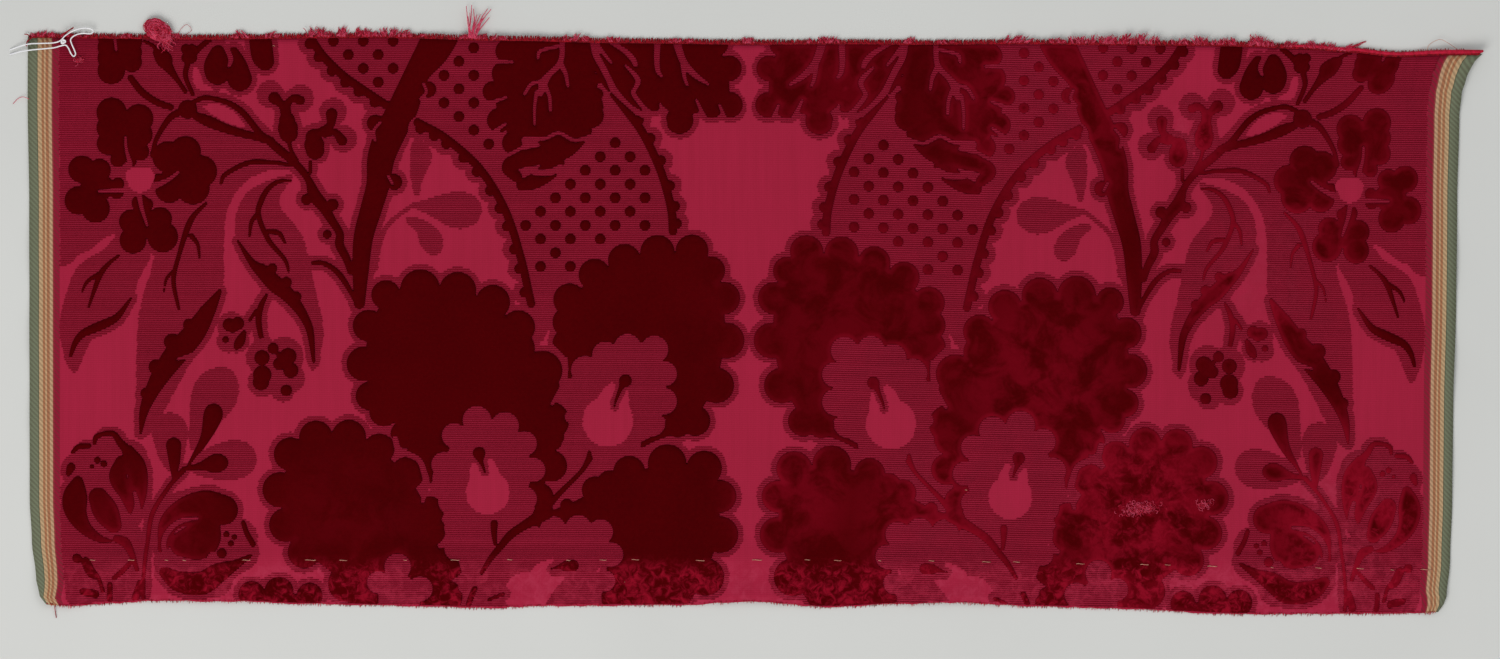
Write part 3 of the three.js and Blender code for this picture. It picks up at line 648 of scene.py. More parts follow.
spots("cut", (-175.2, -25.9, 2.3), rim=0)

# The trunk with its stubs, which runs down behind the great blossoms.
stem("cut", (-113, 116, 14), (-119, 104, 13), (-126, 93.5, 9.6), (-131, 81, 11.5), (-136, 71, 11.5),
     (-139.3, 62, 10.5), (-140.5, 52, 9), (-143, 43, 8.4), (-146, 32, 7.6), (-147, 20, 6.4),
     (-147.5, 7, 4.4))
spots("cut", (-141.5, 75.3, 3.3), (-134.3, 53, 3.1), (-121.4, 88, 3.1))
stem("loops", (-141.6, 68.8, 0.9), (-142, 72.5, 1), (-139.6, 75.6, 0.9))
stem("loops", (-136.6, 55.2, 0.9), (-135, 52.3, 0.9))
stem("loops", (-123.2, 90.2, 0.9), (-122.2, 87, 1), (-124.4, 84.4, 0.9))
# Scalloped cords edge the two fields of spots.
CORD = {"wide": 3.4, "lobe": 2.7, "lobes_out": 1.5, "lobe_rim": 0.6, "rim": 1.4}
SCALLOPED_CORDS = [
    ([(-166.5, 108.5), (-161.7, 101.2), (-154.3, 93.8), (-146.9, 88.4), (-137.7, 82.3)], 6, 1),
    ([(-125.5, 75.5), (-114.7, 69.4), (-101.9, 57.9), (-92.4, 42.4), (-86.6, 25), (-82.5, 7)], 11, 1),
    ([(-51.2, 86.4), (-46, 79.6), (-39.8, 70.8), (-33.4, 57), (-29.6, 43.5), (-28.8, 34.3)], 8, -1),
]
for route, lobes, side in SCALLOPED_CORDS:
    line = smooth_line(route, STEM_POINTS)
    heading = np.gradient(line, axis=0)
    heading /= np.linalg.norm(heading, axis=1)[:, None]
    rows = [int((count + 0.5) / lobes * (len(line) - 1)) for count in range(lobes)]
    out = side * CORD["lobes_out"]
    bumps = [line[row] + out * np.array([heading[row, 1], -heading[row, 0]]) for row in rows]
    weave_in("loops", discs_edge([(*bump, CORD["lobe"] + LOOP_RIM) for bump in bumps]))
    weave_in("cut", discs_edge([(*place, CORD["wide"] / 2) for place in line]), rim=CORD["rim"])
    weave_in("cut", discs_edge([(*bump, CORD["lobe"] - CORD["lobe_rim"]) for bump in bumps]), rim=0)
# The sprig of three drops beside the trunk, all in loops.
stem("loops", (-125.8, 48.6, 2), (-125.7, 55, 5), (-124.3, 62.5, 8.2), (-125.3, 66.2, 5.6))
stem("loops", (-126, 44, 2.6), (-119, 43.5, 7.5), (-110.5, 42.4, 14), (-107.5, 42.3, 12.6))
stem("loops", (-128.5, 38.5, 3), (-123.5, 35.5, 6), (-120.5, 31.2, 8.6), (-119.4, 28.8, 7.2))
stem("loops", (-127, 44.5, 1.6), (-135, 38.5, 2), (-138.3, 34.3, 2), (-140.5, 28, 2.2), (-141.5, 20, 2))

# The great hanging leaf and its veins.
scalloped("cut", (-87, 114, 6), (-91.5, 102.5, 4.6), (-92.5, 94, 5), (-97, 87.3, 4), (-94.6, 76.4, 4.7),
          (-89, 67.8, 4.6), (-76, 70, 4.4), (-69, 69.5, 4.4),
          (-64, 72.5, 4.6), (-59.7, 78.2, 4.8), (-57.4, 82, 2.6), (-57.6, 86, 2.6), (-57.2, 92, 2),
          (-59, 97, 1.8),
          (-60.8, 104, 1.6), (-61.4, 114, 1.4))
# Its foot parts into two fronds.
stem("cut", (-63, 70.5, 5), (-70, 65.5, 7.6), (-79, 63, 7), (-87.5, 61.2, 6.6), (-91, 58.4, 5.4),
     (-88, 55, 4.4))
stem("cut", (-72.5, 60, 5.5), (-76, 57, 7), (-81, 53.5, 6.2), (-86, 51.8, 4.4))
stem("loops", (-70.8, 110, 1.8), (-70.8, 101.2, 1.8), (-72.1, 97.2, 2), (-75.5, 93.8, 2), (-77.9, 90.4, 3),
     (-78.9, 86.3, 1.6))
stem("loops", (-77.9, 91.1, 1.4), (-82.3, 90.1, 1.2), (-85, 86.3, 1))
stem("loops", (-80.5, 87, 1.2), (-81.2, 80.9, 1), (-81.2, 74.8, 0.8))
stem("loops", (-76.9, 89, 1.4), (-75.5, 85, 1.2), (-75.2, 80.2, 1))
stem("loops", (-71.1, 97.2, 2), (-69.4, 93.8, 1.4), (-68.6, 89.4, 1))
stem("loops", (-79.9, 99.9, 0.9), (-78.9, 102.6, 1.2), (-72.5, 104.3, 1.2))
stem("loops", (-59.5, 70.5, 1.2), (-66, 68.8, 1.3), (-72.1, 71.5, 1.3), (-77.5, 69.4, 1.2),
     (-85, 69.4, 1.2),
     (-85.3, 66.7, 1), (-88.3, 64.7, 1.2), (-93, 62.4, 1.2))
stem("loops", (-85, 57.9, 0.9), (-80.9, 56.6, 2), (-75.5, 56.6, 2.4), (-71.4, 58.6, 2))
stem("loops", (-97, 98.6, 1.4), (-89.5, 98.4, 0.9))
stem("loops", (-99, 82.6, 1.6), (-92, 85, 0.9))
stem("loops", (-97, 71.6, 1.6), (-92.2, 75, 0.9))
# The wedge of pile beside it, between two lines of loops, and the second hanging leaf.
patch("cut", (-63, 116), (-61, 103), (-55, 89), (-46, 83), (-37, 79.5), (-36, 95), (-38, 116))
stem("loops", (-59.4, 112, 2.2), (-58.8, 105, 2.3), (-57.8, 100.8, 2.3), (-55.3, 96.2, 2.3),
     (-53, 91.6, 2.2),
     (-51.3, 88.1, 2.4), (-48.8, 85.2, 2), (-46, 82.4, 1.6), (-42.6, 79.6, 1.8), (-38.6, 77.9, 2.6))
stem("loops", (-57.2, 104.6, 1.4), (-54.4, 100.8, 1.2), (-52.2, 98.2, 0.8))
stem("loops", (-55.3, 84.8, 0.8), (-54.4, 82, 1.4), (-53.4, 79, 2))
scalloped("cut", (-43, 114, 5), (-38.6, 99, 4), (-37, 92, 4.2), (-36.2, 84.6, 4.8), (-26.3, 76.4, 5.3),
          (-14.2, 81.4, 4.3), (-7.2, 82.2, 4.9), (-7.6, 96, 4.9), (-12, 105, 4.2), (-12.5, 114, 4.4))
stem("loops", (-53, 106.2, 1.2), (-47.3, 102.8, 1.8), (-44.1, 99.6, 2), (-43, 97.4, 1.6))
stem("loops", (-46.7, 97, 0.8), (-43.4, 93.7, 1.6), (-42, 91.2, 1.8), (-43, 88.6, 1.4), (-43.8, 86.6, 1.6),
     (-41.4, 83, 1.6), (-38.6, 80, 1.6), (-35.4, 78.2, 2))
stem("loops", (-33.6, 82.4, 0.8), (-32.8, 79, 1.4), (-32, 75, 2))
stem("loops", (-19.9, 84, 0.8), (-18.4, 80.6, 1.2), (-16.8, 77, 2))
stem("loops", (-11.2, 82.2, 0.8), (-10.2, 79.6, 1.2), (-9.4, 77, 2))
stem("loops", (-34.5, 109, 2.4), (-34.9, 99.9, 2), (-34.5, 95.1, 1.6), (-33.2, 93.1, 0.9))
stem("loops", (-28.6, 110, 3), (-25.7, 100.5, 2.6), (-23.4, 96.5, 2.4), (-20, 93.1, 2), (-15.6, 90.1, 0.9))
stem("loops", (-25.1, 97.2, 1.6), (-24.4, 92.4, 1.2), (-23.4, 89.7, 0.9))
stem("ground", (0, 112, 13), (0, 105, 10), (0, 101, 5.4), (0, 97, 2.6), (0, 94, 2.6), (0, 91.5, 5),
     (0, 89, 7.4), (0, 86.5, 5), (0, 83, 2.4), (0, 80, 2.4), (0, 76, 4))

# The great blossom on the left of the middle.
scalloped("cut", (-144, -1.4, 6.1), (-137.5, 10.3, 5.6), (-124.5, 12.4, 7.6), (-110.3, 11.9, 7.1),
          (-97, 7.5, 6.6), (-87.4, -2, 6.5), (-88, -10, 7), (-78.2, -18.4, 7.6), (-78.6, -25, 7),
          (-75.4, -37.4, 7.4), (-75.5, -43.5, 5.6), (-74.8, -54.5, 6), (-79, -66, 5), (-112, -66, 5),
          (-122, -57, 4.2), (-125.5, -50, 4.4), (-130.4, -42.5, 5.4), (-138.2, -34, 5.6),
          (-143.5, -28, 5.5),
          (-145.8, -15.8, 6.6))
# The great blossom beside the mirror line.
scalloped("cut", (-68.3, -20, 1.6), (-69.2, -8, 5.3), (-68.6, 0, 5.9), (-68, 8.5, 6.2), (-58.5, 17.9, 6.1),
          (-47.2, 23.3, 6.3), (-34.7, 26.4, 6.6), (-21.6, 26.9, 6.3), (-14.6, 19.4, 5.6), (-9.6, 9, 6.3),
          (-8.6, -7, 6.9), (-12.4, -24, 6.8), (-20.4, -37.4, 5.8), (-27, -38.8, 5))
stem("cut", (-30, -41, 4), (-36.2, -44.2, 2.4), (-42, -47.2, 2.4))
stem("loops", (-74.8, -9, 1.6), (-70.1, -14.1, 1.6), (-69.5, -18.1, 1.6), (-70.1, -22.9, 1.6),
     (-74.5, -31, 1.2))
# The wide blossom at the lower left of the middle.
scalloped("cut", (-173.6, -50, 6.4), (-177.5, -63.5, 6.8), (-175.2, -76.8, 6.6), (-168.4, -87, 6.3),
          (-152.5, -99, 7), (-151, -114, 7), (-116, -114, 7), (-115, -104, 6.6), (-114.3, -91.5, 6.4),
          (-120.8, -79, 6), (-121, -71.5, 5.6), (-129.4, -57.3, 6.4), (-140, -48, 5.9),
          (-151.5, -43.5, 6.6),
          (-164, -43.6, 6.4))
stem("loops", (-134, -44.2, 2), (-132.3, -48.5, 2.2), (-125.3, -52, 2), (-123, -57, 2.2),
     (-122.3, -61, 2.4),
     (-123.5, -67.9, 1.2))
# The blossom below the one by the mirror line, on an arm, with bays of loops on its inner side.
scalloped("cut", (-58.2, -63.5, 5.2), (-52.6, -61, 5), (-45.4, -56.7, 6.1), (-31, -53.6, 7.4),
          (-17, -55.4, 6.8), (-11, -66, 6.3), (-11, -80.5, 7), (-16.5, -96.5, 7.2), (-27, -114, 6),
          (-56, -114, 3), (-56, -104, 1.2), (-53.8, -93, 0.6), (-54.4, -83.4, 0.6), (-60, -77, 0.6),
          (-70, -77, 0.6), (-79, -76, 2), (-79.5, -72.5, 2.4), (-69, -69.4, 2.6))
spots("loops", (-54.8, -98, 4), (-52.2, -88, 4.5), (-56.2, -79.4, 4.6), (-64.6, -78, 4.8),
      (-74.2, -78.4, 4.8))
stem("cut", (-59.5, -49.5, 3.5), (-61.2, -53, 2.4), (-63.9, -57, 2), (-72.1, -65.2, 2.4), (-76.2, -69.9, 3))

# Four flowers in loops, laid over the blossoms: each with a bare heart and a tuft of pile in it.
scalloped("loops", (-62, -18.2, 5.3), (-54.4, -12.4, 4.9), (-46, -9.6, 5), (-35.8, -10.4, 5.1),
          (-32, -19.6, 4.6), (-32.4, -30, 5), (-36.6, -38.6, 4.6), (-45, -46, 4), (-56, -49.5, 3.6),
          (-68, -47, 3), (-67.3, -36, 2.4), (-67.6, -26, 2))
scalloped("loops", (-111.6, -43, 4.6), (-103, -37.2, 5.3), (-92.4, -39.4, 5.2), (-85, -46, 4.6),
          (-81.6, -56, 4.4), (-85, -67, 4.6), (-91, -76, 4.4), (-98, -84, 3.6), (-103.5, -95, 4),
          (-104.5, -112, 4.4), (-107, -100, 3), (-111.2, -86, 4), (-110.5, -78, 4.8), (-112.6, -68, 5),
          (-114.8, -59, 5), (-115.5, -54, 4.7))
patch("loops", (-80, -78), (-97, -92), (-105, -114), (-60, -114), (-58, -94), (-65, -81))
scalloped("loops", (-140.4, -98.6, 4.1), (-133, -92.6, 4.9), (-124.5, -101, 4.6), (-125, -114, 4),
          (-140, -114, 4.2))
HEARTS = [
    ((-53.5, -37.6), 9.6, (-51.9, -23), (-46.3, -25.4)),
    ((-99, -64.6), 8.3, (-104.9, -53.8), (-97.7, -51.8)),
    ((-84.5, -103), 8.2, (-74.3, -89.8), (-70.2, -97)),
]
for (u, v), radius, left_tip, right_tip in HEARTS:
    spots("ground", (u, v, radius))
    for tip in (left_tip, right_tip):
        lean = 0.62 * (tip[0] - u)
        stem("ground", (u + 0.5 * lean, v, 1.1 * radius),
             (u + 0.85 * lean, v + 0.55 * (tip[1] - v), 0.9 * radius), (*tip, 0.8))
TUFTS = [
    [(-46.8, -22.2, 5), (-48.3, -24.6, 2.2), (-50.4, -29.6, 1.3), (-51, -32, 1)],
    [(-102.2, -49.6, 5), (-101.6, -52.4, 2.2), (-100.6, -55, 1.3), (-100, -57, 1)],
    [(-66.6, -92.2, 4.6), (-69, -92.3, 4.2), (-72.5, -92.8, 1.4), (-75, -93.5, 1)],
]
for tuft in TUFTS:
    stem("cut", *tuft, rim=1.2)
stem("cut", (-96.5, -76.3, 3), (-96.5, -80, 2.4), (-96.1, -84.1, 1.6), rim=0)
# The stems that carry them, down to the bottom cut.
stem("cut", (-76.9, -71.9, 6), (-80.9, -74.6, 4.6), (-85.6, -77.3, 3.6), (-90.4, -80.7, 3.4),
     (-94.4, -85.4, 2.8), (-97.8, -89.5, 2.4), (-101.2, -94.9, 1.8))
stem("cut", (-103.9, -101, 2.4), (-105.9, -106.1, 2.4), (-107, -112, 2.4))
stem("cut", (-98.5, -105.1, 1.4), (-93.1, -103, 1.8))
# A low spray of small lobes at the bottom cut.
scalloped("cut", (-190, -112, 4), (-188.4, -103, 5.1), (-178, -102, 5.6), (-166.4, -103.6, 5),
          (-165.5, -112, 4))

# The sprig by the selvedge: three drops with cores of pile, on one stem.
DROPS = [
    ([(-210.5, -47, 3), (-208, -40, 8), (-202.5, -28, 17), (-200, -23.5, 13)],
     [(-212, -54, 1.6), (-206, -44, 4), (-203, -35.5, 7.4), (-203, -33.5, 5.4)]),
    ([(-208.5, -55, 6), (-203, -53.5, 12), (-195, -52.2, 15), (-193, -52, 12.6)],
     [(-214, -55.5, 1.8), (-208, -54.6, 3), (-202, -53.5, 7.2), (-200, -53.3, 6)]),
    ([(-217.5, -57, 2.4), (-218.6, -51, 9), (-219.2, -43, 13.4), (-219.2, -40.5, 12.4)],
     [(-217.8, -59.8, 1.4), (-217.6, -53, 4.4), (-217.9, -46.6, 6)]),
]
for drop, core in DROPS:
    stem("loops", *drop)
    stem("cut", *core, rim=0)
stem("cut", (-214.1, -56, 2.4), (-216.9, -59.1, 2), (-220.2, -63.1, 2), (-226, -72.6, 2.2),
     (-228, -84.1, 2),
     (-229.7, -97.6, 2), (-230, -112, 2), rim=1.4)
# The half-open pod on the left: curved strips of pile round a seed.
scalloped("loops", (-256, -69, 5.5), (-254.8, -56, 6.3), (-250.5, -50.5, 6), (-242, -46.4, 7),
          (-235, -52, 7.5),
          (-233.6, -62, 7.6), (-236, -72, 6.5), (-238, -84, 6), (-254, -80, 6))
stem("cut", (-256.4, -49.3, 1.6), (-254, -47.2, 2.2), (-250, -46.9, 2), rim=0)
stem("cut", (-248, -45.9, 1.6), (-247.3, -43.5, 2.2), (-243.9, -42.2, 2), (-240.5, -42.5, 2.4),
     (-238.2, -45.6, 3), (-235.1, -48.9, 4), rim=0)
stem("cut", (-235.1, -49, 5), (-232, -55, 7.6), (-231.2, -63, 7), (-232, -70, 5), (-233.6, -75.5, 2))
stem("cut", (-237.4, -53.4, 6), (-239, -58.8, 7), (-236, -65.5, 5), (-234.4, -71.5, 2.4))
stem("loops", (-232.7, -64.5, 1), (-231.7, -69.2, 2), (-232.4, -73.3, 3), (-234.4, -76.7, 2))
stem("cut", (-257, -55, 3.6), (-258, -57.4, 2.2), rim=0)
stem("cut", (-254.4, -60.4, 4.4), (-255.5, -66.5, 9.6), (-255.2, -72, 8.4), (-252, -77.8, 5.4),
     (-246.5, -81.9, 3.2), (-241.6, -82.9, 1.2))
stem("cut", (-246.6, -66.4, 7.6), (-243.8, -71.6, 9.8), (-240.8, -76.8, 6.4))
stem("loops", (-250.4, -72, 1), (-247.3, -77, 1), (-241.5, -80.8, 1))
spots("cut", (-249, -54.7, 1), (-246.9, -52.3, 1.4), (-244.4, -53.7, 1.4), rim=0)
stem("cut", (-239.8, -82.1, 3), (-236.5, -83.4, 4), (-234.4, -86.8, 3), (-232.1, -93.6, 2), rim=0)
spots("cut", (-255.4, -89.5, 2), rim=0)
stem("cut", (-252, -90.9, 4), (-250, -94.9, 4), (-247.3, -96.9, 2), (-245.9, -101.7, 2), rim=0)
stem("cut", (-254, -102, 3), (-249, -103, 3.4), rim=0)
stem("cut", (-234.4, -90.9, 2), (-238.5, -94.9, 2.4), (-241.2, -96.9, 2), rim=0)
stem("cut", (-242.9, -99.5, 2.4), (-243.3, -105, 2.6), rim=0)
stem("cut", (-231, -99, 3), (-233, -104.5, 3.4), rim=0)
# The round fruit beside it, in two crescents.
scalloped("loops", (-218, -80, 8.2), (-214, -72.5, 8.6), (-205, -70, 8.6), (-200.5, -71.5, 8.4),
          (-194, -82, 8),
          (-193.6, -87, 8), (-203, -97, 7.6), (-213, -97.5, 7.6), (-218, -91, 7.6))
stem("cut", (-222, -85.5, 4.4), (-219.8, -76.5, 7.6), (-213.4, -71.6, 10.6), (-206, -69.8, 12.2),
     (-199.2, -71.2, 11.6))
stem("cut", (-214.4, -84, 10), (-208, -82.5, 14.6), (-206, -78, 12))
stem("loops", (-209.1, -74.3, 1), (-214.1, -75, 1.6), (-218.2, -77.3, 1.8), (-221.2, -81.4, 1.8),
     (-221.6, -86.1, 1.6), (-219.6, -90.2, 1.6), (-215.5, -92.5, 2.2), (-206, -90.9, 2.2),
     (-203.3, -88.1, 2))
stem("cut", (-221.4, -94.8, 4.6), (-216, -98.2, 8), (-207.5, -98.9, 9), (-201, -95, 7.6),
     (-194.8, -92, 4), (-187.6, -87.7, 1))
stem("cut", (-191.5, -76, 2), (-190.1, -80, 2.2), (-187.8, -84.1, 2.4), rim=0)
spots("cut", (-197.9, -80.4, 1.3), (-194.9, -81.4, 1.2), (-196.2, -83.8, 1.3), (-199.6, -87.5, 2), rim=0)

# The spots, in staggered rows, kept clear of every other figure. Each set of rows has its field, the
# place of one spot, whether it is the part left of the hanging leaf, and the v that it starts from.
SPOT = {"radius": 2.15, "apart": 11.3, "row": 5.2, "clear": 0.9, "inside": 1.2}
SPOT_ROWS = [(spotted_left, -140.4, 101.2, False, 60), (spotted_right, -104.2, 83.0, True, 60),
             (spotted_right, -50.7, 78.2, False, -20)]


def at(field, u, v):
    """A field of the chart at any places, from the four points round each."""
    column = np.clip((np.asarray(u) - chart_u[0, 0]) / CHART_PITCH, 0, chart_u.shape[1] - 1.001)
    row = np.clip((np.asarray(v) - chart_v[0, 0]) / CHART_PITCH, 0, chart_v.shape[0] - 1.001)
    i, j = row.astype(int), column.astype(int)
    down, over = row - i, column - j
    low = field[i, j] * (1 - over) + field[i, j + 1] * over
    high = field[i + 1, j] * (1 - over) + field[i + 1, j + 1] * over
    return low * (1 - down) + high * down


spot_places = []
for field, first_u, first_v, left, from_v in SPOT_ROWS:
    for row in range(-24, 25):
        for step in range(-14, 15):
            u = first_u + SPOT["apart"] * (step + 0.5 * (row % 2))
            v = first_v + SPOT["row"] * row
            if not -HALF_LOOM < u < 0 or not -100 < v < 110 or v < from_v:
                continue
            if field is spotted_right and (u < -92 and v > 62) != left:
                continue
            clear = at(to_cut, u, v) > SPOT["radius"] + SPOT["clear"]
            if clear and at(field, u, v) < -SPOT["inside"] and at(to_loops, u, v) < -SPOT["inside"]:
                spot_places.append((u, v, SPOT["radius"]))
spots("cut", *spot_places, rim=0)
# No pile is woven in the plain strip by the selvedge.
PLAIN_STRIP_FROM_U = 261.3
to_loops = np.maximum(to_loops, -(chart_u + PLAIN_STRIP_FROM_U))
to_cut = np.maximum(to_cut, -(chart_u + PLAIN_STRIP_FROM_U))


# On the right half the warps spread as they were woven, so that the figure there lies a little
# further out and lower than its mirror image. Each table is u, and mm out or up.
SPREAD_OUT = [(0, 0), (40, 1.2), (120, 2.2), (180, 1.3), (230, 1.4), (255, 0.5), (262, 0)]
SPREAD_UP = [(0, 0), (60, -0.8), (130, -1.1), (230, -0.6), (262, 0)]
CORNER_PULL = {"u": 240, "v": 112, "reach_u": 30, "reach_v": 26, "out": 3.2}


def on_cloth(side, u, v):
    """The loom coordinates on the cloth of points of the chart, on the left half or on the right."""
    if side < 0:
        return u, v
    corner = hump(-u - CORNER_PULL["u"], CORNER_PULL["reach_u"]) * hump(v - CORNER_PULL["v"],
                                                                        CORNER_PULL["reach_v"])
    out = along(SPREAD_OUT, -u) + CORNER_PULL["out"] * corner
    return -u + out, v + along(SPREAD_UP, -u)


# The uncut loops. Pile warps raised over a rod, which is drawn out again, leave a rib of loops across
# the cloth for each rod, 12 to the centimetre. A rib ends row by row at a figure's edge.
ROD_PITCH = 0.81
RIB = {"radius": 0.235, "thickness": (0.93, 1.07), "middle": 0.78, "sides": 5, "step": 5.0,
       "probe": 0.1, "shortest": 0.7, "uneven": 0.28, "back_from_pile": 0.5, "back_from_ends": 0.4,
       "to_v": 110}
RIB_DEEP = paint_colour(96, 8, 22)
RIB_PALE = paint_colour(136, 19, 40)
RIB_RUBBED = paint_colour(102, 12, 28)
RIB_CRUSHED = paint_colour(158, 32, 56)


def strand_tree():
    """Round strands on lines of edges: each as thick as its points say, closed at both ends."""
    tree = bpy.data.node_groups.new("round_strands", "GeometryNodeTree")
    face = tree.interface
    face.new_socket("Geometry", in_out="INPUT", socket_type="NodeSocketGeometry")
    sides = face.new_socket("Sides", in_out="INPUT", socket_type="NodeSocketInt")
    finish = face.new_socket("Finish", in_out="INPUT", socket_type="NodeSocketMaterial")
    face.new_socket("Geometry", in_out="OUTPUT", socket_type="NodeSocketGeometry")
    given = tree.nodes.new("NodeGroupInput").outputs
    thick = node(tree, "GeometryNodeInputNamedAttribute", {"Name": "thick"}, data_type="FLOAT")
    lines = node(tree, "GeometryNodeMeshToCurve", {"Mesh": given["Geometry"]})
    section = node(tree, "GeometryNodeCurvePrimitiveCircle", {"Resolution": given["Sides"], "Radius": 1.0})
    skin = node(tree, "GeometryNodeCurveToMesh", {
        "Curve": lines.outputs[0], "Profile Curve": section.outputs[0],
        "Scale": thick.outputs["Attribute"], "Fill Caps": True,
    })
    smooth = node(tree, "GeometryNodeSetShadeSmooth", {"Geometry": skin.outputs[0], "Shade Smooth": True})
    real = node(tree, "GeometryNodeRealizeInstances", {"Geometry": smooth.outputs[0]})
    dyed = node(tree, "GeometryNodeSetMaterial", {"Geometry": real.outputs[0], "Material": given["Finish"]})
    node(tree, "NodeGroupOutput", {"Geometry": dyed.outputs[0]})
    return tree, sides.identifier, finish.identifier


strands, sides_key, finish_key = strand_tree()


def strand_piece(name, lines, finish, sides):
    """One piece of many strands. A line is an array of points, x, y, z and radius, in metres."""
    points = np.concatenate(lines)
    counts = np.array([len(line) for line in lines])
    ends = np.cumsum(counts)
    starts = np.ones(len(points), bool)
    starts[ends - 1] = False
    first = np.nonzero(starts)[0]
    mesh = bpy.data.meshes.new(name + "_lines")
    mesh.vertices.add(len(points))
    mesh.vertices.foreach_set("co", np.ascontiguousarray(points[:, :3], np.float32).ravel())
    mesh.edges.add(len(first))
    mesh.edges.foreach_set("vertices", np.stack([first, first + 1], axis=1).astype(np.int32).ravel())
    thick = mesh.attributes.new("thick", "FLOAT", "POINT")
    thick.data.foreach_set("value", np.ascontiguousarray(points[:, 3], np.float32))
    carrier = bpy.data.objects.new(name + "_lines", mesh)
    bpy.context.collection.objects.link(carrier)
    skin = carrier.modifiers.new("skin", "NODES")
    skin.node_group = strands
    skin[sides_key] = sides
    skin[finish_key] = finish
    ready = carrier.evaluated_get(bpy.context.evaluated_depsgraph_get())
    piece = bpy.data.objects.new(name, bpy.data.meshes.new_from_object(ready))
    piece.data.name = name
    bpy.data.objects.remove(carrier)
    bpy.context.collection.objects.link(piece)
    return piece


# How far the pile's edges are thinned where they are rubbed most, and how deep inside them it ends.
EDGE_THINNED = {"share": 0.75, "ends_at": 0.6}
PILE_CLOUDS = 36.0
PILE_GRAIN = 900.0


def velvet_finish(name, deep, pale, rubbed, crushed, roughness, sheen, edge_reach):
    """Silk pile: two tones in clouds and rows, a third where it is rubbed, a fourth where crushed.

    Cut pile also wears thin from its edges inwards, over so many mm. Loops have no such edge."""
    finish, tree, shader = new_finish(name)
    place = node(tree, "ShaderNodeTexCoord").outputs["Object"]
    clouds = clouds_of(tree, place, PILE_CLOUDS, 5.0)
    grain = clouds_of(tree, place, PILE_GRAIN)
    rows = bands_of(tree, place, math.pi / (10 * ROD_PITCH * MM), "Y", 0.4)
    tone = math_node(tree, "MULTIPLY_ADD", grain, 0.45, math_node(tree, "MULTIPLY", clouds, 0.5))
    tone = math_node(tree, "MULTIPLY_ADD", rows, 0.05, tone)
    everywhere, worn, crush = wear_of(tree, place)
    if edge_reach:
        depth = node(tree, "ShaderNodeAttribute", attribute_name="depth").outputs["Fac"]
        thin = eased(tree, depth, edge_reach, EDGE_THINNED["ends_at"])
        at_edge = math_node(tree, "MULTIPLY", everywhere, EDGE_THINNED["share"])
        crush = math_node(tree, "MAXIMUM", crush, math_node(tree, "MULTIPLY", thin, at_edge))
    faded = mixed(tree, worn, mixed(tree, tone, deep, pale), rubbed)
    relief = math_node(tree, "ADD", grain, crush)
    coat(tree, shader, mixed(tree, crush, faded, crushed), relief, 0.45, 0.25, roughness, 0.02, sheen)
    shader.inputs["Sheen Tint"].default_value = (0.5, 0.02, 0.05, 1)
    return finish


looped_silk = velvet_finish("crimson_loops", RIB_DEEP, RIB_PALE, RIB_RUBBED, RIB_CRUSHED, 0.8, 0.05, 0)
loop_pieces = []
for side, name in ((-1, "uncut_loops_left"), (1, "uncut_loops_right")):
    chance = random.Random(20 + side)
    probe_u = np.arange(-PLAIN_STRIP_FROM_U, 0.001, RIB["probe"])
    ribs = []
    for row in range(int(-RIB["to_v"] / ROD_PITCH), int(RIB["to_v"] / ROD_PITCH)):
        v = (row + 0.5) * ROD_PITCH
        in_loops = (at(to_loops, probe_u, v) < 0) & (at(to_cut, probe_u, v) > -RIB["back_from_pile"])
        cloth_u, cloth_v = on_cloth(side, probe_u, v)
        in_loops &= cloth_v < along(TOP_CUT, cloth_u) - RIB["back_from_ends"]
        in_loops &= cloth_v > along(BOTTOM_CUT, cloth_u) + RIB["back_from_ends"]
        steps = np.diff(np.concatenate([[0], in_loops.astype(int), [0]]))
        for start, end in zip(np.nonzero(steps == 1)[0], np.nonzero(steps == -1)[0] - 1):
            from_u = probe_u[start] + chance.uniform(-1, 1) * RIB["uneven"]
            to_u = min(0, probe_u[end] + chance.uniform(-1, 1) * RIB["uneven"])
            if to_u - from_u < RIB["shortest"]:
                continue
            count = max(2, round((to_u - from_u) / RIB["step"]) + 1)
            u = np.linspace(from_u, to_u, count)
            radius = np.full((count, 1), RIB["radius"] * chance.uniform(*RIB["thickness"]) * MM)
            ribs.append(np.hstack([lay(*on_cloth(side, u, v), RIB["middle"]), radius]))
    loop_pieces.append(strand_piece(name, ribs, looped_silk, RIB["sides"]))
for piece in loop_pieces:
    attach(piece, "root")
    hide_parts("velvet_cloth")


# The cut pile. The same warps raised over a grooved rod and slit along it stand up as dense silk
# plush, deeper than the loops, with round shoulders and a dark, light-drinking top.
PILE = {"foot": 0.6, "top": 1.62, "shoulder": 0.42, "full_at": 1.0, "inner_pitch": 4,
        "foot_pitch": 12, "from_cut": 0.35, "lower_rubbed": 0.55, "roundness": 2.6, "uneven": 0.05,
        "thinned_to": 2.4}
NEAREST_CROSSING = 0.12
SAME_PLACE = 1e-6
PILE_DEEP = paint_colour(56, 0, 2)
PILE_PALE = paint_colour(86, 1, 5)
PILE_RUBBED = paint_colour(114, 5, 21)
PILE_CRUSHED = paint_colour(138, 13, 34)


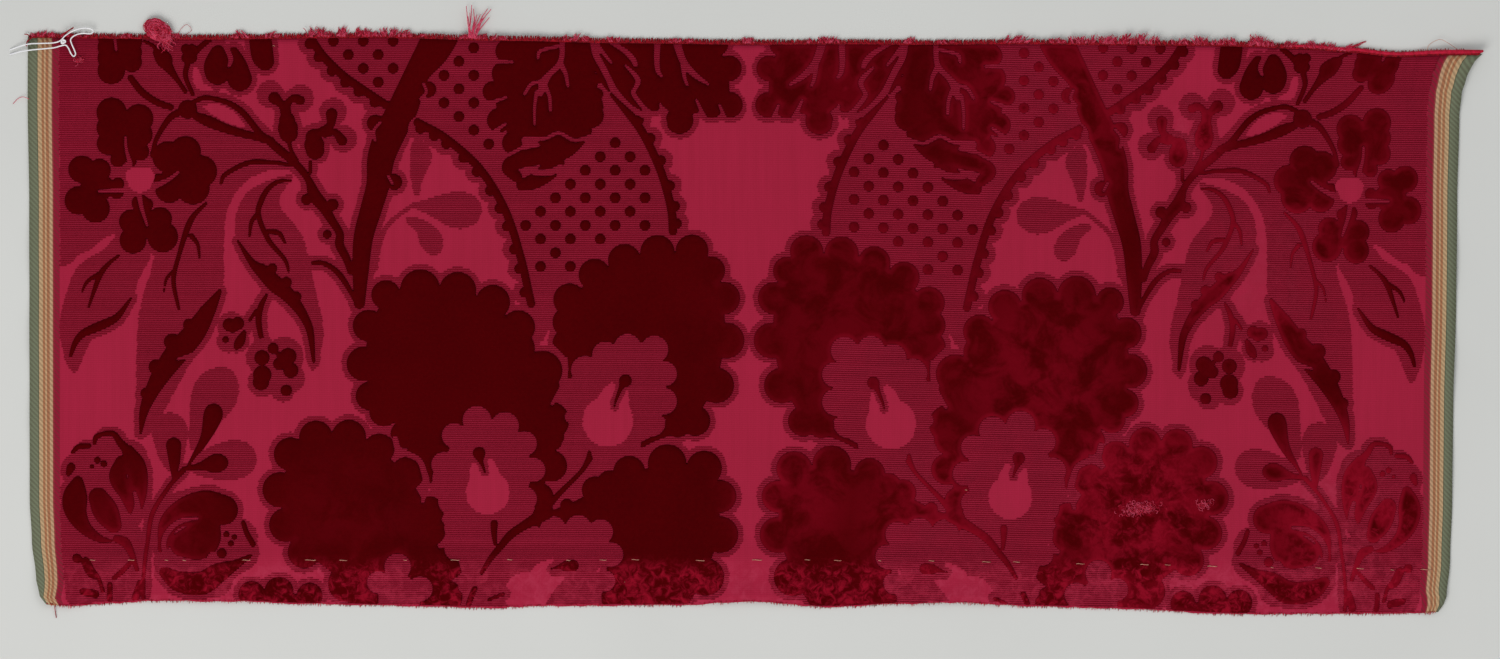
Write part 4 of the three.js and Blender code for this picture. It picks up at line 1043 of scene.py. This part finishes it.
def contour(field):
    """Points where a field of the chart passes 0, and the pairs of them that a cell joins."""
    inside = field < 0
    flat = inside[:, :-1] != inside[:, 1:]
    tall = inside[:-1] != inside[1:]
    number = np.full((2, *field.shape), -1)
    number[0, :, :-1][flat] = np.arange(flat.sum())
    number[1, :-1][tall] = flat.sum() + np.arange(tall.sum())

    def crossing(start, end):
        share = np.clip(start / (start - end), NEAREST_CROSSING, 1 - NEAREST_CROSSING)
        return share * CHART_PITCH

    row, column = np.nonzero(flat)
    over = crossing(field[row, column], field[row, column + 1])
    flat_points = np.stack([chart_u[row, column] + over, chart_v[row, column]], axis=1)
    row, column = np.nonzero(tall)
    down = crossing(field[row, column], field[row + 1, column])
    tall_points = np.stack([chart_u[row, column], chart_v[row, column] + down], axis=1)
    low, high = number[0, :-1, :-1], number[0, 1:, :-1]
    left, right = number[1, :-1, :-1], number[1, :-1, 1:]
    case = inside[:-1, :-1] + 2 * inside[:-1, 1:] + 4 * inside[1:, 1:] + 8 * inside[1:, :-1]
    sides_of = {1: [(left, low)], 2: [(low, right)], 3: [(left, right)], 4: [(right, high)],
                5: [(left, low), (right, high)], 6: [(low, high)], 7: [(left, high)],
                10: [(low, right), (left, high)]}
    pairs = []
    for which in range(1, 15):
        for one, other in sides_of.get(which, sides_of.get(15 - which)):
            here = case == which
            pairs.append(np.stack([one[here], other[here]], axis=1))
    return np.concatenate([flat_points, tall_points]), np.concatenate(pairs)


def rubbed_at(u, v):
    """How far the silk is rubbed at points of the cloth, as its finish has it."""
    most = np.zeros(len(u))
    for middle_u, middle_v, reach, strength in RUBBED:
        share = np.clip((reach - np.hypot(u - middle_u, v - middle_v)) / ((1 - FULL_WITHIN) * reach), 0, 1)
        most = np.maximum(most, strength * share * share * (3 - 2 * share))
    return most


def pile_height(edge):
    """The height of the plush at a depth inside its edge."""
    share = np.clip(-edge / PILE["full_at"], 0, 1)
    return PILE["foot"] + (PILE["top"] - PILE["foot"]) * (1 - (1 - share) ** PILE["roundness"])


def points_inside(edge, every, depth):
    """The points of the chart, every so many, that are deeper than a depth inside a figure."""
    deep = edge[::every, ::every] < -depth
    return np.stack([chart_u[::every, ::every][deep], chart_v[::every, ::every][deep]], axis=1)


def joined_up(points, pairs):
    """Triangles between points, with the pairs of them as edges."""
    return delaunay_2d_cdt([Vector(p) for p in points.tolist()], pairs.tolist(), [], 0, SAME_PLACE)


cut_silk = velvet_finish("crimson_cut_pile", PILE_DEEP, PILE_PALE, PILE_RUBBED, PILE_CRUSHED, 1.0, 0.04,
                         PILE["thinned_to"])
pile_pieces = []
for side, name in ((-1, "cut_pile_left"), (1, "cut_pile_right")):
    cloth_u, cloth_v = on_cloth(side, chart_u, chart_v)
    ends = np.maximum(cloth_v - along(TOP_CUT, cloth_u), along(BOTTOM_CUT, cloth_u) - cloth_v)
    edge = np.maximum(to_cut, ends + PILE["from_cut"])
    rim_points, rim_pairs = contour(edge)
    shoulder_points, _ = contour(edge + PILE["shoulder"])
    inner_points = points_inside(edge, PILE["inner_pitch"], PILE["full_at"])
    all_points = np.concatenate([rim_points, shoulder_points, inner_points])
    count = len(rim_points)
    top = joined_up(all_points, rim_pairs)
    under_points = points_inside(edge, PILE["foot_pitch"], 2 * PILE["full_at"])
    foot = joined_up(np.concatenate([rim_points, under_points]), rim_pairs)
    place_of = {}
    for index, sources in enumerate(top[3]):
        for source in sources:
            if source < count:
                place_of[source] = index
    meets, low_places = [], []
    for point, sources in zip(foot[0], foot[3]):
        if sources and sources[0] >= count:
            meets.append(len(top[0]) + len(low_places))
            low_places.append(tuple(point))
        else:
            meets.append(place_of.get(sources[0], -1) if sources else -1)
    top_places = np.array([tuple(p) for p in top[0]] + low_places)

    def faces_inside(faces, index_of):
        faces = index_of[np.array(faces)]
        middle = top_places[faces].mean(axis=1)
        return faces[(at(edge, middle[:, 0], middle[:, 1]) < 0) & (faces >= 0).all(axis=1)]
    top_faces = faces_inside(top[2], np.arange(len(top[0])))
    foot_faces = faces_inside(foot[2], np.array(meets))[:, ::-1]
    faces = np.concatenate([top_faces, foot_faces])
    if side > 0:
        faces = faces[:, ::-1]
    rng = np.random.default_rng(5 + side)
    depth = at(edge, top_places[:, 0], top_places[:, 1])
    on_rim = np.zeros(len(top_places), bool)
    on_rim[list(place_of.values())] = True
    on_rim[len(top[0]):] = True
    cloth_places = np.stack(on_cloth(side, *top_places.T), axis=1)
    height = pile_height(depth) + rng.uniform(-PILE["uneven"], PILE["uneven"], len(depth)) - PILE["foot"]
    height *= 1 - PILE["lower_rubbed"] * rubbed_at(*cloth_places.T)
    height = PILE["foot"] + np.where(on_rim, 0, height)
    used = np.zeros(len(top_places), bool)
    used[faces] = True
    renumber = np.cumsum(used) - 1
    places = cloth_places[used]
    points = lay(places[:, 0], places[:, 1], height[used])
    pile = mesh_piece(name, points, [renumber[faces]], cut_silk, places)
    inward = pile.data.attributes.new("depth", "FLOAT", "POINT")
    inward.data.foreach_set("value", np.ascontiguousarray(-depth[used], np.float32))
    pile_pieces.append(pile)
for piece in pile_pieces:
    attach(piece, "root")
    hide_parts("velvet_cloth")


# The frayed cut. Along the top cut the weft has ravelled away. Dark ends of pile warp lie over the edge
# like a comb, and clumps of crimped filament stand out past them. At the right end the bare ground
# rolls over into a smooth lip.
FRAYED_ENDS = {"pitch": 0.22, "from_cut": -0.5, "past_cut": 0.3, "radius": 0.19, "lean": 0.35}
FRAY_WIDE = [(-273, 0.8), (-262, 1.3), (-60, 1.3), (80, 1.2), (225, 1.4), (248, 1.7), (266, 1.8), (273, 0.7)]
# Each clump: from u, to u, how tall it stands and how it leans.
CLUMPS = [
    (-271, -262, 1.9, 0.3), (-260, -250, 1.1, 0), (-237, -232, 1.6, 0.2), (-219, -215, 1.8, -0.2),
    (-196, -189, 2.6, -0.5), (-183, -178, 2.2, 0.2), (-168, -161, 4.0, 0.4), (-161, -150.5, 3.2, 0.1),
    (-151, -143, 3.2, -0.2), (-144, -123, 2.7, 0.1), (-111, -92, 1.9, 0.1), (-72, -60, 2.4, 0.2),
    (-54, -49, 1.9, 0.3), (-30, -20, 1.6, 0), (-4, 4, 2.1, 0.2), (22, 36, 2.0, -0.1),
    (60, 65, 2.8, 0.3), (70, 79, 1.8, 0), (98, 107, 3.3, 0.9), (111, 122, 2.0, 0.2),
    (124, 169, 3.3, 0.1), (169, 182, 2.6, 0), (182, 188, 3.0, 0.1), (189, 200, 3.9, 0.4),
    (200, 210, 2.8, 0.2), (212, 229, 2.5, 0.2), (227, 231, 3.2, 1.2),
]
CRIMP = {"to_mm": 9, "radius": 0.19, "sway": 0.32, "lean_spread": 0.26, "shoulder": 0.65, "root": 0.1,
         "tuft_every": 1.5, "tuft_spread": 0.36, "points": 7, "pink_share": 0.45}
ROLLED_LIP = [(206, 0.5, 0.2), (213, 0.6, 0.55), (222, 0.65, 0.6), (240, 0.7, 0.66), (255, 0.75, 0.72),
              (266, 0.8, 0.8), (272, 0.85, 0.62), (273, 1.2, 0.3)]

dark_ends = spun_finish("frayed_dark_silk", paint_colour(184, 15, 38), paint_colour(84, 1, 9),
                        700.0, 900.0, 0.03)
red_ends = spun_finish("frayed_red_silk", paint_colour(204, 30, 64), paint_colour(146, 10, 34),
                       700.0, 900.0, 0.05)
pink_ends = spun_finish("frayed_pink_silk", paint_colour(224, 84, 116), paint_colour(186, 34, 70),
                        700.0, 900.0, 0.1)

chance = random.Random(31)
comb_lines = []
share = np.array([0, 0.5, 1])
for u in np.arange(-HALF_LOOM + 0.6, HALF_LOOM - 0.6, FRAYED_ENDS["pitch"]):
    past = FRAYED_ENDS["past_cut"] + along(FRAY_WIDE, u) * chance.uniform(0.65, 1.1)
    out = FRAYED_ENDS["from_cut"] + share * (past - FRAYED_ENDS["from_cut"])
    lean = chance.gauss(0, FRAYED_ENDS["lean"]) * share
    above = chance.uniform(0.95, 1.25) - share * chance.uniform(0.2, 0.7)
    thick = FRAYED_ENDS["radius"] * np.array([[1], [1.1], [0.5]]) * MM
    comb_lines.append(np.hstack([lay(u + lean, along(TOP_CUT, u) + out, above), thick]))

red_lines, pink_lines = [], []
share = np.linspace(0, 1, CRIMP["points"])
for from_u, to_u, tall, lean in CLUMPS:
    tufts = [(chance.uniform(from_u, to_u), chance.uniform(0.65, 1.25), chance.gauss(lean, 0.35))
             for _ in range(max(2, round((to_u - from_u) / CRIMP["tuft_every"])))]
    for number in range(round((to_u - from_u) * CRIMP["to_mm"])):
        middle, high, tuft_lean = tufts[number % len(tufts)]
        u = middle + chance.gauss(0, CRIMP["tuft_spread"])
        from_middle = min(1, abs(2 * (u - from_u) / (to_u - from_u) - 1))
        reach = tall * high * (1 - (1 - CRIMP["shoulder"]) * from_middle ** 2) * chance.uniform(0.4, 1.08)
        tip_lean = tuft_lean + chance.gauss(0, CRIMP["lean_spread"])
        turn, turns = chance.uniform(0, 6.3), chance.uniform(0.6, 1.8) * math.pi * reach / 2
        sway = CRIMP["sway"] * np.sin(turns * share + turn)
        out = CRIMP["root"] + reach * share + 0.5 * CRIMP["sway"] * np.cos(1.7 * turns * share + turn)
        above = 0.3 + chance.uniform(0.1, 1.5) * (1 - share * chance.uniform(0.2, 0.9))
        thick = (CRIMP["radius"] * (1 - 0.45 * share) * MM)[:, None]
        line = np.hstack([lay(u + tip_lean * reach * share + sway, along(TOP_CUT, u) + out, above), thick])
        (pink_lines if chance.random() < CRIMP["pink_share"] else red_lines).append(line)

lip_u, lip_out, lip_thick = smooth_line(ROLLED_LIP, 8).T
lip_places = lay(lip_u, along(TOP_CUT, lip_u) + lip_out, 0.35 + lip_thick)
lip_lines = [np.hstack([lip_places, lip_thick[:, None] * MM])]

# A wad of filament, pulled out of the cut and matted into a flat lump, is caught on it.
WAD = {"u": -223.6, "v": 110.4, "z": 1.9, "long": 5.9, "wide": 3.5, "deep": 1.3, "tilt": -0.55, "loops": 190,
       "loop_points": 12, "loop_radius": 0.12, "strays": 26, "stray_points": 7, "stray_radius": 0.11}
wad_lines = []
along_wad = np.array([math.cos(WAD["tilt"]), math.sin(WAD["tilt"])])
across_wad = np.array([-along_wad[1], along_wad[0]])
wad_middle = lay(WAD["u"], WAD["v"], WAD["z"])


def in_wad(forward, sideways, up):
    """Points in the wad, in metres, from shares of its half length, half width and half depth."""
    flat = np.outer(forward * WAD["long"], along_wad) + np.outer(sideways * WAD["wide"], across_wad)
    return wad_middle + np.column_stack([flat, up * WAD["deep"]]) * MM


for number in range(WAD["loops"]):
    turn = chance.uniform(0, 6.3) + np.linspace(0, chance.uniform(1.2, 4.5), WAD["loop_points"])
    out = chance.uniform(0.25, 1.04) + 0.1 * np.sin(3 * turn + number)
    ring = chance.uniform(0.35, 1.0)
    shift = chance.uniform(-1, 1) * (1 - ring)
    up = np.sqrt(np.maximum(0, 1 - out ** 2)) * chance.uniform(0.2, 1.0)
    places = in_wad(shift + out * ring * np.cos(turn), out * np.sin(turn), up)
    wad_lines.append(np.hstack([places, np.full((len(places), 1), WAD["loop_radius"] * MM)]))
for number in range(WAD["strays"]):
    root = np.array([chance.uniform(0.3, 0.9), chance.uniform(-0.9, 0.3)])
    end = root + [chance.uniform(0.2, 0.75), chance.uniform(-1.1, -0.3)]
    steps = np.linspace(0, 1, WAD["stray_points"])[:, None]
    flat = root + (end - root) * steps + 0.1 * np.sin(7 * steps + number)
    places = in_wad(flat[:, 0], flat[:, 1], 0.2 - 0.3 * steps[:, 0])
    wad_lines.append(np.hstack([places, np.full((len(places), 1), WAD["stray_radius"] * MM)]))
# Painted shade: a core in the dark silk's finish inside the wad. It stands for the shade deep among the
# filaments and shows dark through their gaps.
core_share = np.linspace(-0.93, 0.93, 13)
core_thick = 0.8 * np.sqrt(1 - core_share ** 2) * WAD["deep"] * MM
wad_shade_core = [np.hstack([in_wad(core_share, np.full(13, side), np.full(13, -0.15)), core_thick[:, None]])
            for side in (-0.35, 0, 0.35)]

# A bunch of loose warp threads that stands out past the cut, fanned to the right.
WARP_TUFT = {"from_u": -107.2, "to_u": -103.0, "tips_from": -107.0, "tips_to": -97.6, "threads": 15,
             "tall": 13.6, "radius": 0.19}
tuft_lines = []
for number in range(WARP_TUFT["threads"]):
    fan = number / (WARP_TUFT["threads"] - 1)
    root = WARP_TUFT["from_u"] + (WARP_TUFT["to_u"] - WARP_TUFT["from_u"]) * (0.3 + 0.55 * fan)
    root += chance.uniform(-0.9, 0.9)
    tip = WARP_TUFT["tips_from"] + (WARP_TUFT["tips_to"] - WARP_TUFT["tips_from"]) * fan
    tall = WARP_TUFT["tall"] * chance.uniform(0.6, 1.0) * (1 - 0.14 * fan)
    steps = np.linspace(0, 1, 9)
    bow = chance.uniform(-0.8, 0.8) * np.sin(math.pi * steps)
    u = root + (tip - root) * steps ** 1.35 + bow
    above = 0.9 + chance.uniform(-0.3, 0.5) + 0.6 * np.sin(math.pi * steps) - 0.5 * steps
    thick = (WARP_TUFT["radius"] * (1.2 - 0.55 * steps) * MM)[:, None]
    tuft_lines.append(np.hstack([lay(u, along(TOP_CUT, root) + 0.2 + tall * steps, above), thick]))

fray_pieces = [
    strand_piece("frayed_dark_ends", comb_lines, dark_ends, 4),
    strand_piece("frayed_red_clumps", red_lines, red_ends, 4),
    strand_piece("frayed_pink_clumps", pink_lines, pink_ends, 4),
    strand_piece("rolled_lip", lip_lines, red_ends, 10),
    strand_piece("silk_wad", wad_lines[::2], pink_ends, 4),
    strand_piece("silk_wad_deep", wad_lines[1::2], red_ends, 4),
    # The wad's dark core is painted shade among its filaments.
    strand_piece("silk_wad_painted_shade", wad_shade_core, dark_ends, 10),
    strand_piece("loose_warp_tuft", tuft_lines, pink_ends, 6),
]
for piece in fray_pieces:
    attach(piece, "root")
    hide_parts("frayed_cut")


# What else lies on the cloth or stands out of it: the basting stitches of the old hem, two places
# where the pile is pulled into pink fluff, loose ends at both selvedges, and a few flecks.
BASTING = {"v": -90.1, "from_u": -250.5, "to_u": 265, "gap": (5.0, 22.0), "stitch": (1.2, 4.6),
           "radius": 0.12, "above": 1.66, "on_ground": 1.02}
hem_thread = spun_finish("pale_basting_thread", paint_colour(214, 162, 134), paint_colour(164, 90, 80),
                         1200.0, 700.0, 0.05)
chance = random.Random(47)
stitches = []
u = BASTING["from_u"]
while u < BASTING["to_u"]:
    long = chance.uniform(*BASTING["stitch"])
    v = BASTING["v"] + chance.uniform(-0.25, 0.25)
    over_pile = at(to_cut, -abs(u + long / 2), v) < 0.3
    above = (BASTING["above"] if over_pile else BASTING["on_ground"]) + np.array([-0.3, 0, 0, -0.3])
    line = lay(u + long * np.array([0, 0.2, 0.8, 1]), v + 0.1 * np.array([0, 1, -1, 0]), above)
    stitches.append(np.hstack([line, np.full((4, 1), BASTING["radius"] * MM)]))
    u += long + chance.uniform(*BASTING["gap"])

# The bottom cut was made with dull shears: its warp ends stand out unevenly.
BOTTOM_ENDS = {"pitch": 0.45, "longest": 0.9, "radius": 0.13}
share = np.array([0, 0.6, 1])
bottom_lines = [[], []]
for number, u in enumerate(np.arange(-HALF_LOOM + 1, HALF_LOOM - 1, BOTTOM_ENDS["pitch"])):
    long = BOTTOM_ENDS["longest"] * chance.random() ** 2 + 0.1
    v = along(BOTTOM_CUT, u) + 0.5 - share * (long + 0.5)
    above = chance.uniform(0.3, 1.0) * (1 - 0.4 * share)
    thick = BOTTOM_ENDS["radius"] * np.array([[1], [1], [0.5]]) * MM
    bottom_lines[chance.random() < 0.4].append(
        np.hstack([lay(u + chance.gauss(0, 0.2) * share, v, above), thick]))

# Fluff: middle u and v, half width and half height, and how many short curled fibres.
FLUFF = [(151.2, -68.8, 6.4, 2.3, 230), (175.6, -66.8, 2.4, 1.6, 50), (-253.6, 99.2, 1.6, 1.4, 34)]
FLUFF_RADIUS = 0.08
fluff_lines = [[], []]
for middle_u, middle_v, half_wide, half_tall, fibres in FLUFF:
    for number in range(fibres):
        u = middle_u + 0.5 * half_wide * chance.gauss(0, 1)
        v = middle_v + 0.5 * half_tall * chance.gauss(0, 1) + 0.12 * (u - middle_u)
        bend = chance.uniform(0, 6.3) + np.linspace(0, chance.uniform(1.5, 5), 7)
        size = chance.uniform(0.35, 0.9)
        above = 1.4 + chance.uniform(0, 0.8) * np.sin(np.linspace(0.2, 3, 7))
        line = lay(u + size * np.cos(bend), v + size * np.sin(bend), above)
        fluff_lines[number % 2].append(np.hstack([line, np.full((7, 1), FLUFF_RADIUS * MM)]))

# Hairs and loose ends, as points x, y and z on the table, each with its thickness.
LOOSE_ENDS = {
    "pink_hair": (pink_ends, 0.11, [(-276.4, 82.6, 0.3), (-274.4, 84.6, 0.5), (-272.4, 85.2, 1.2),
                                    (-270.2, 84.4, 1.5)]),
    "red_corner_end": (dark_ends, 0.2, [(-269.6, 107.2, 1.4), (-270.6, 108.7, 1.3), (-272, 109, 0.8)]),
    "dark_corner_end": (dark_ends, 0.24, [(-271.2, 104.4, 1.2), (-270.8, 106.2, 1.5), (-269, 107.8, 1.3)]),
    "end_over_loop": (dark_ends, 0.26, [(-258.4, 108.2, 2.8), (-256, 109.6, 3.0), (-253.2, 111.4, 2.7)]),
    "brown_hair": (hem_thread, 0.09, [(258.8, 103, 1.6), (260, 105.2, 1.6), (263.6, 106.9, 1.4),
                                      (266.6, 105.7, 1.5), (270.4, 103.1, 2.0)]),
    "hanging_thread": (dark_ends, 0.16, [(-260.2, -104.4, 1.9), (-260.5, -108, 1.0), (-260, -112, 0.3)]),
    "curled_hair": (red_ends, 0.08, [(-214.6, 106.5, 1.4), (-212.8, 110.8, 1.2), (-210.4, 112.6, 0.8),
                                     (-208.8, 110.4, 0.6), (-211, 108.8, 0.8)]),
}
FLECKS = [(-178, 104.5, 1.2, 0.5), (84.1, -63.6, 1.4, 0.4), (-45.1, -98.5, 1.5, 0.4)]
fleck_lines = [np.array([[x, y, z, 0.3 * size], [x + size, y + 0.2, z + 0.1, 0.24 * size],
                         [x + 1.5 * size, y - 0.2, z, 0.1]]) * MM for x, y, z, size in FLECKS]
cloth_bits = [
    strand_piece("basting_stitches", stitches, hem_thread, 5),
    strand_piece("pulled_fluff_pink", fluff_lines[0], pink_ends, 4),
    strand_piece("pulled_fluff_red", fluff_lines[1], red_ends, 4),
    strand_piece("pale_flecks", fleck_lines, hem_thread, 5),
    strand_piece("bottom_cut_fluff_dark", bottom_lines[0], dark_ends, 4),
    strand_piece("bottom_cut_fluff_red", bottom_lines[1], red_ends, 4),
]
for name, (finish, radius, route) in LOOSE_ENDS.items():
    line = smooth_line(route, POINTS_TO_A_SPAN) * MM
    cloth_bits.append(strand_piece(name, [np.hstack([line, np.full((len(line), 1), radius * MM)])],
                                   finish, 6))
for piece in cloth_bits:
    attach(piece, "root")
    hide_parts("velvet_cloth")


# The table: a plain pale floor, and soft light from the lower left with a pale room round it.
FLOOR_SIZE = 3.0
FLOOR_CLOUDS = 9.0
FLOOR_ROUGHNESS = 0.9
floor_finish, tree, shader = new_finish("pale_table")
place = node(tree, "ShaderNodeTexCoord").outputs["Object"]
cloudy = clouds_of(tree, place, FLOOR_CLOUDS, 3.0)
tree.links.new(mixed(tree, cloudy, paint_colour(206, 207, 204), paint_colour(215, 216, 213)),
               shader.inputs["Base Color"])
shader.inputs["Roughness"].default_value = FLOOR_ROUGHNESS
half = FLOOR_SIZE / 2
floor_corners = np.array([(-half, -half, 0), (half, -half, 0), (half, half, 0), (-half, half, 0)])
floor = mesh_piece("table", floor_corners, [np.array([[0, 1, 2, 3]])], floor_finish)

# Each light: its name, its place in metres, its size in metres, its watts and its colour.
LIGHTS = [
    ("lower_left_softbox", (-0.75, -1.15, 1.5), 1.3, 25.0, (1.0, 0.985, 0.97)),
    ("upper_right_fill", (1.2, 0.9, 1.7), 1.6, 8.5, (0.97, 0.985, 1.0)),
]
for name, place, size, watts, colour in LIGHTS:
    lamp = bpy.data.lights.new(name, "AREA")
    lamp.size = size
    lamp.energy = watts
    lamp.color = colour
    light = bpy.data.objects.new(name, lamp)
    light.location = place
    light.rotation_euler = Vector(place).to_track_quat("Z", "Y").to_euler()
    bpy.context.collection.objects.link(light)
ROOM_COLOUR = (0.93, 0.94, 0.95, 1)
ROOM_STRENGTH = 0.46
world = bpy.data.worlds.new("pale_room")
world.use_nodes = True
room = world.node_tree.nodes["Background"].inputs
room["Color"].default_value = ROOM_COLOUR
room["Strength"].default_value = ROOM_STRENGTH
bpy.context.scene.world = world
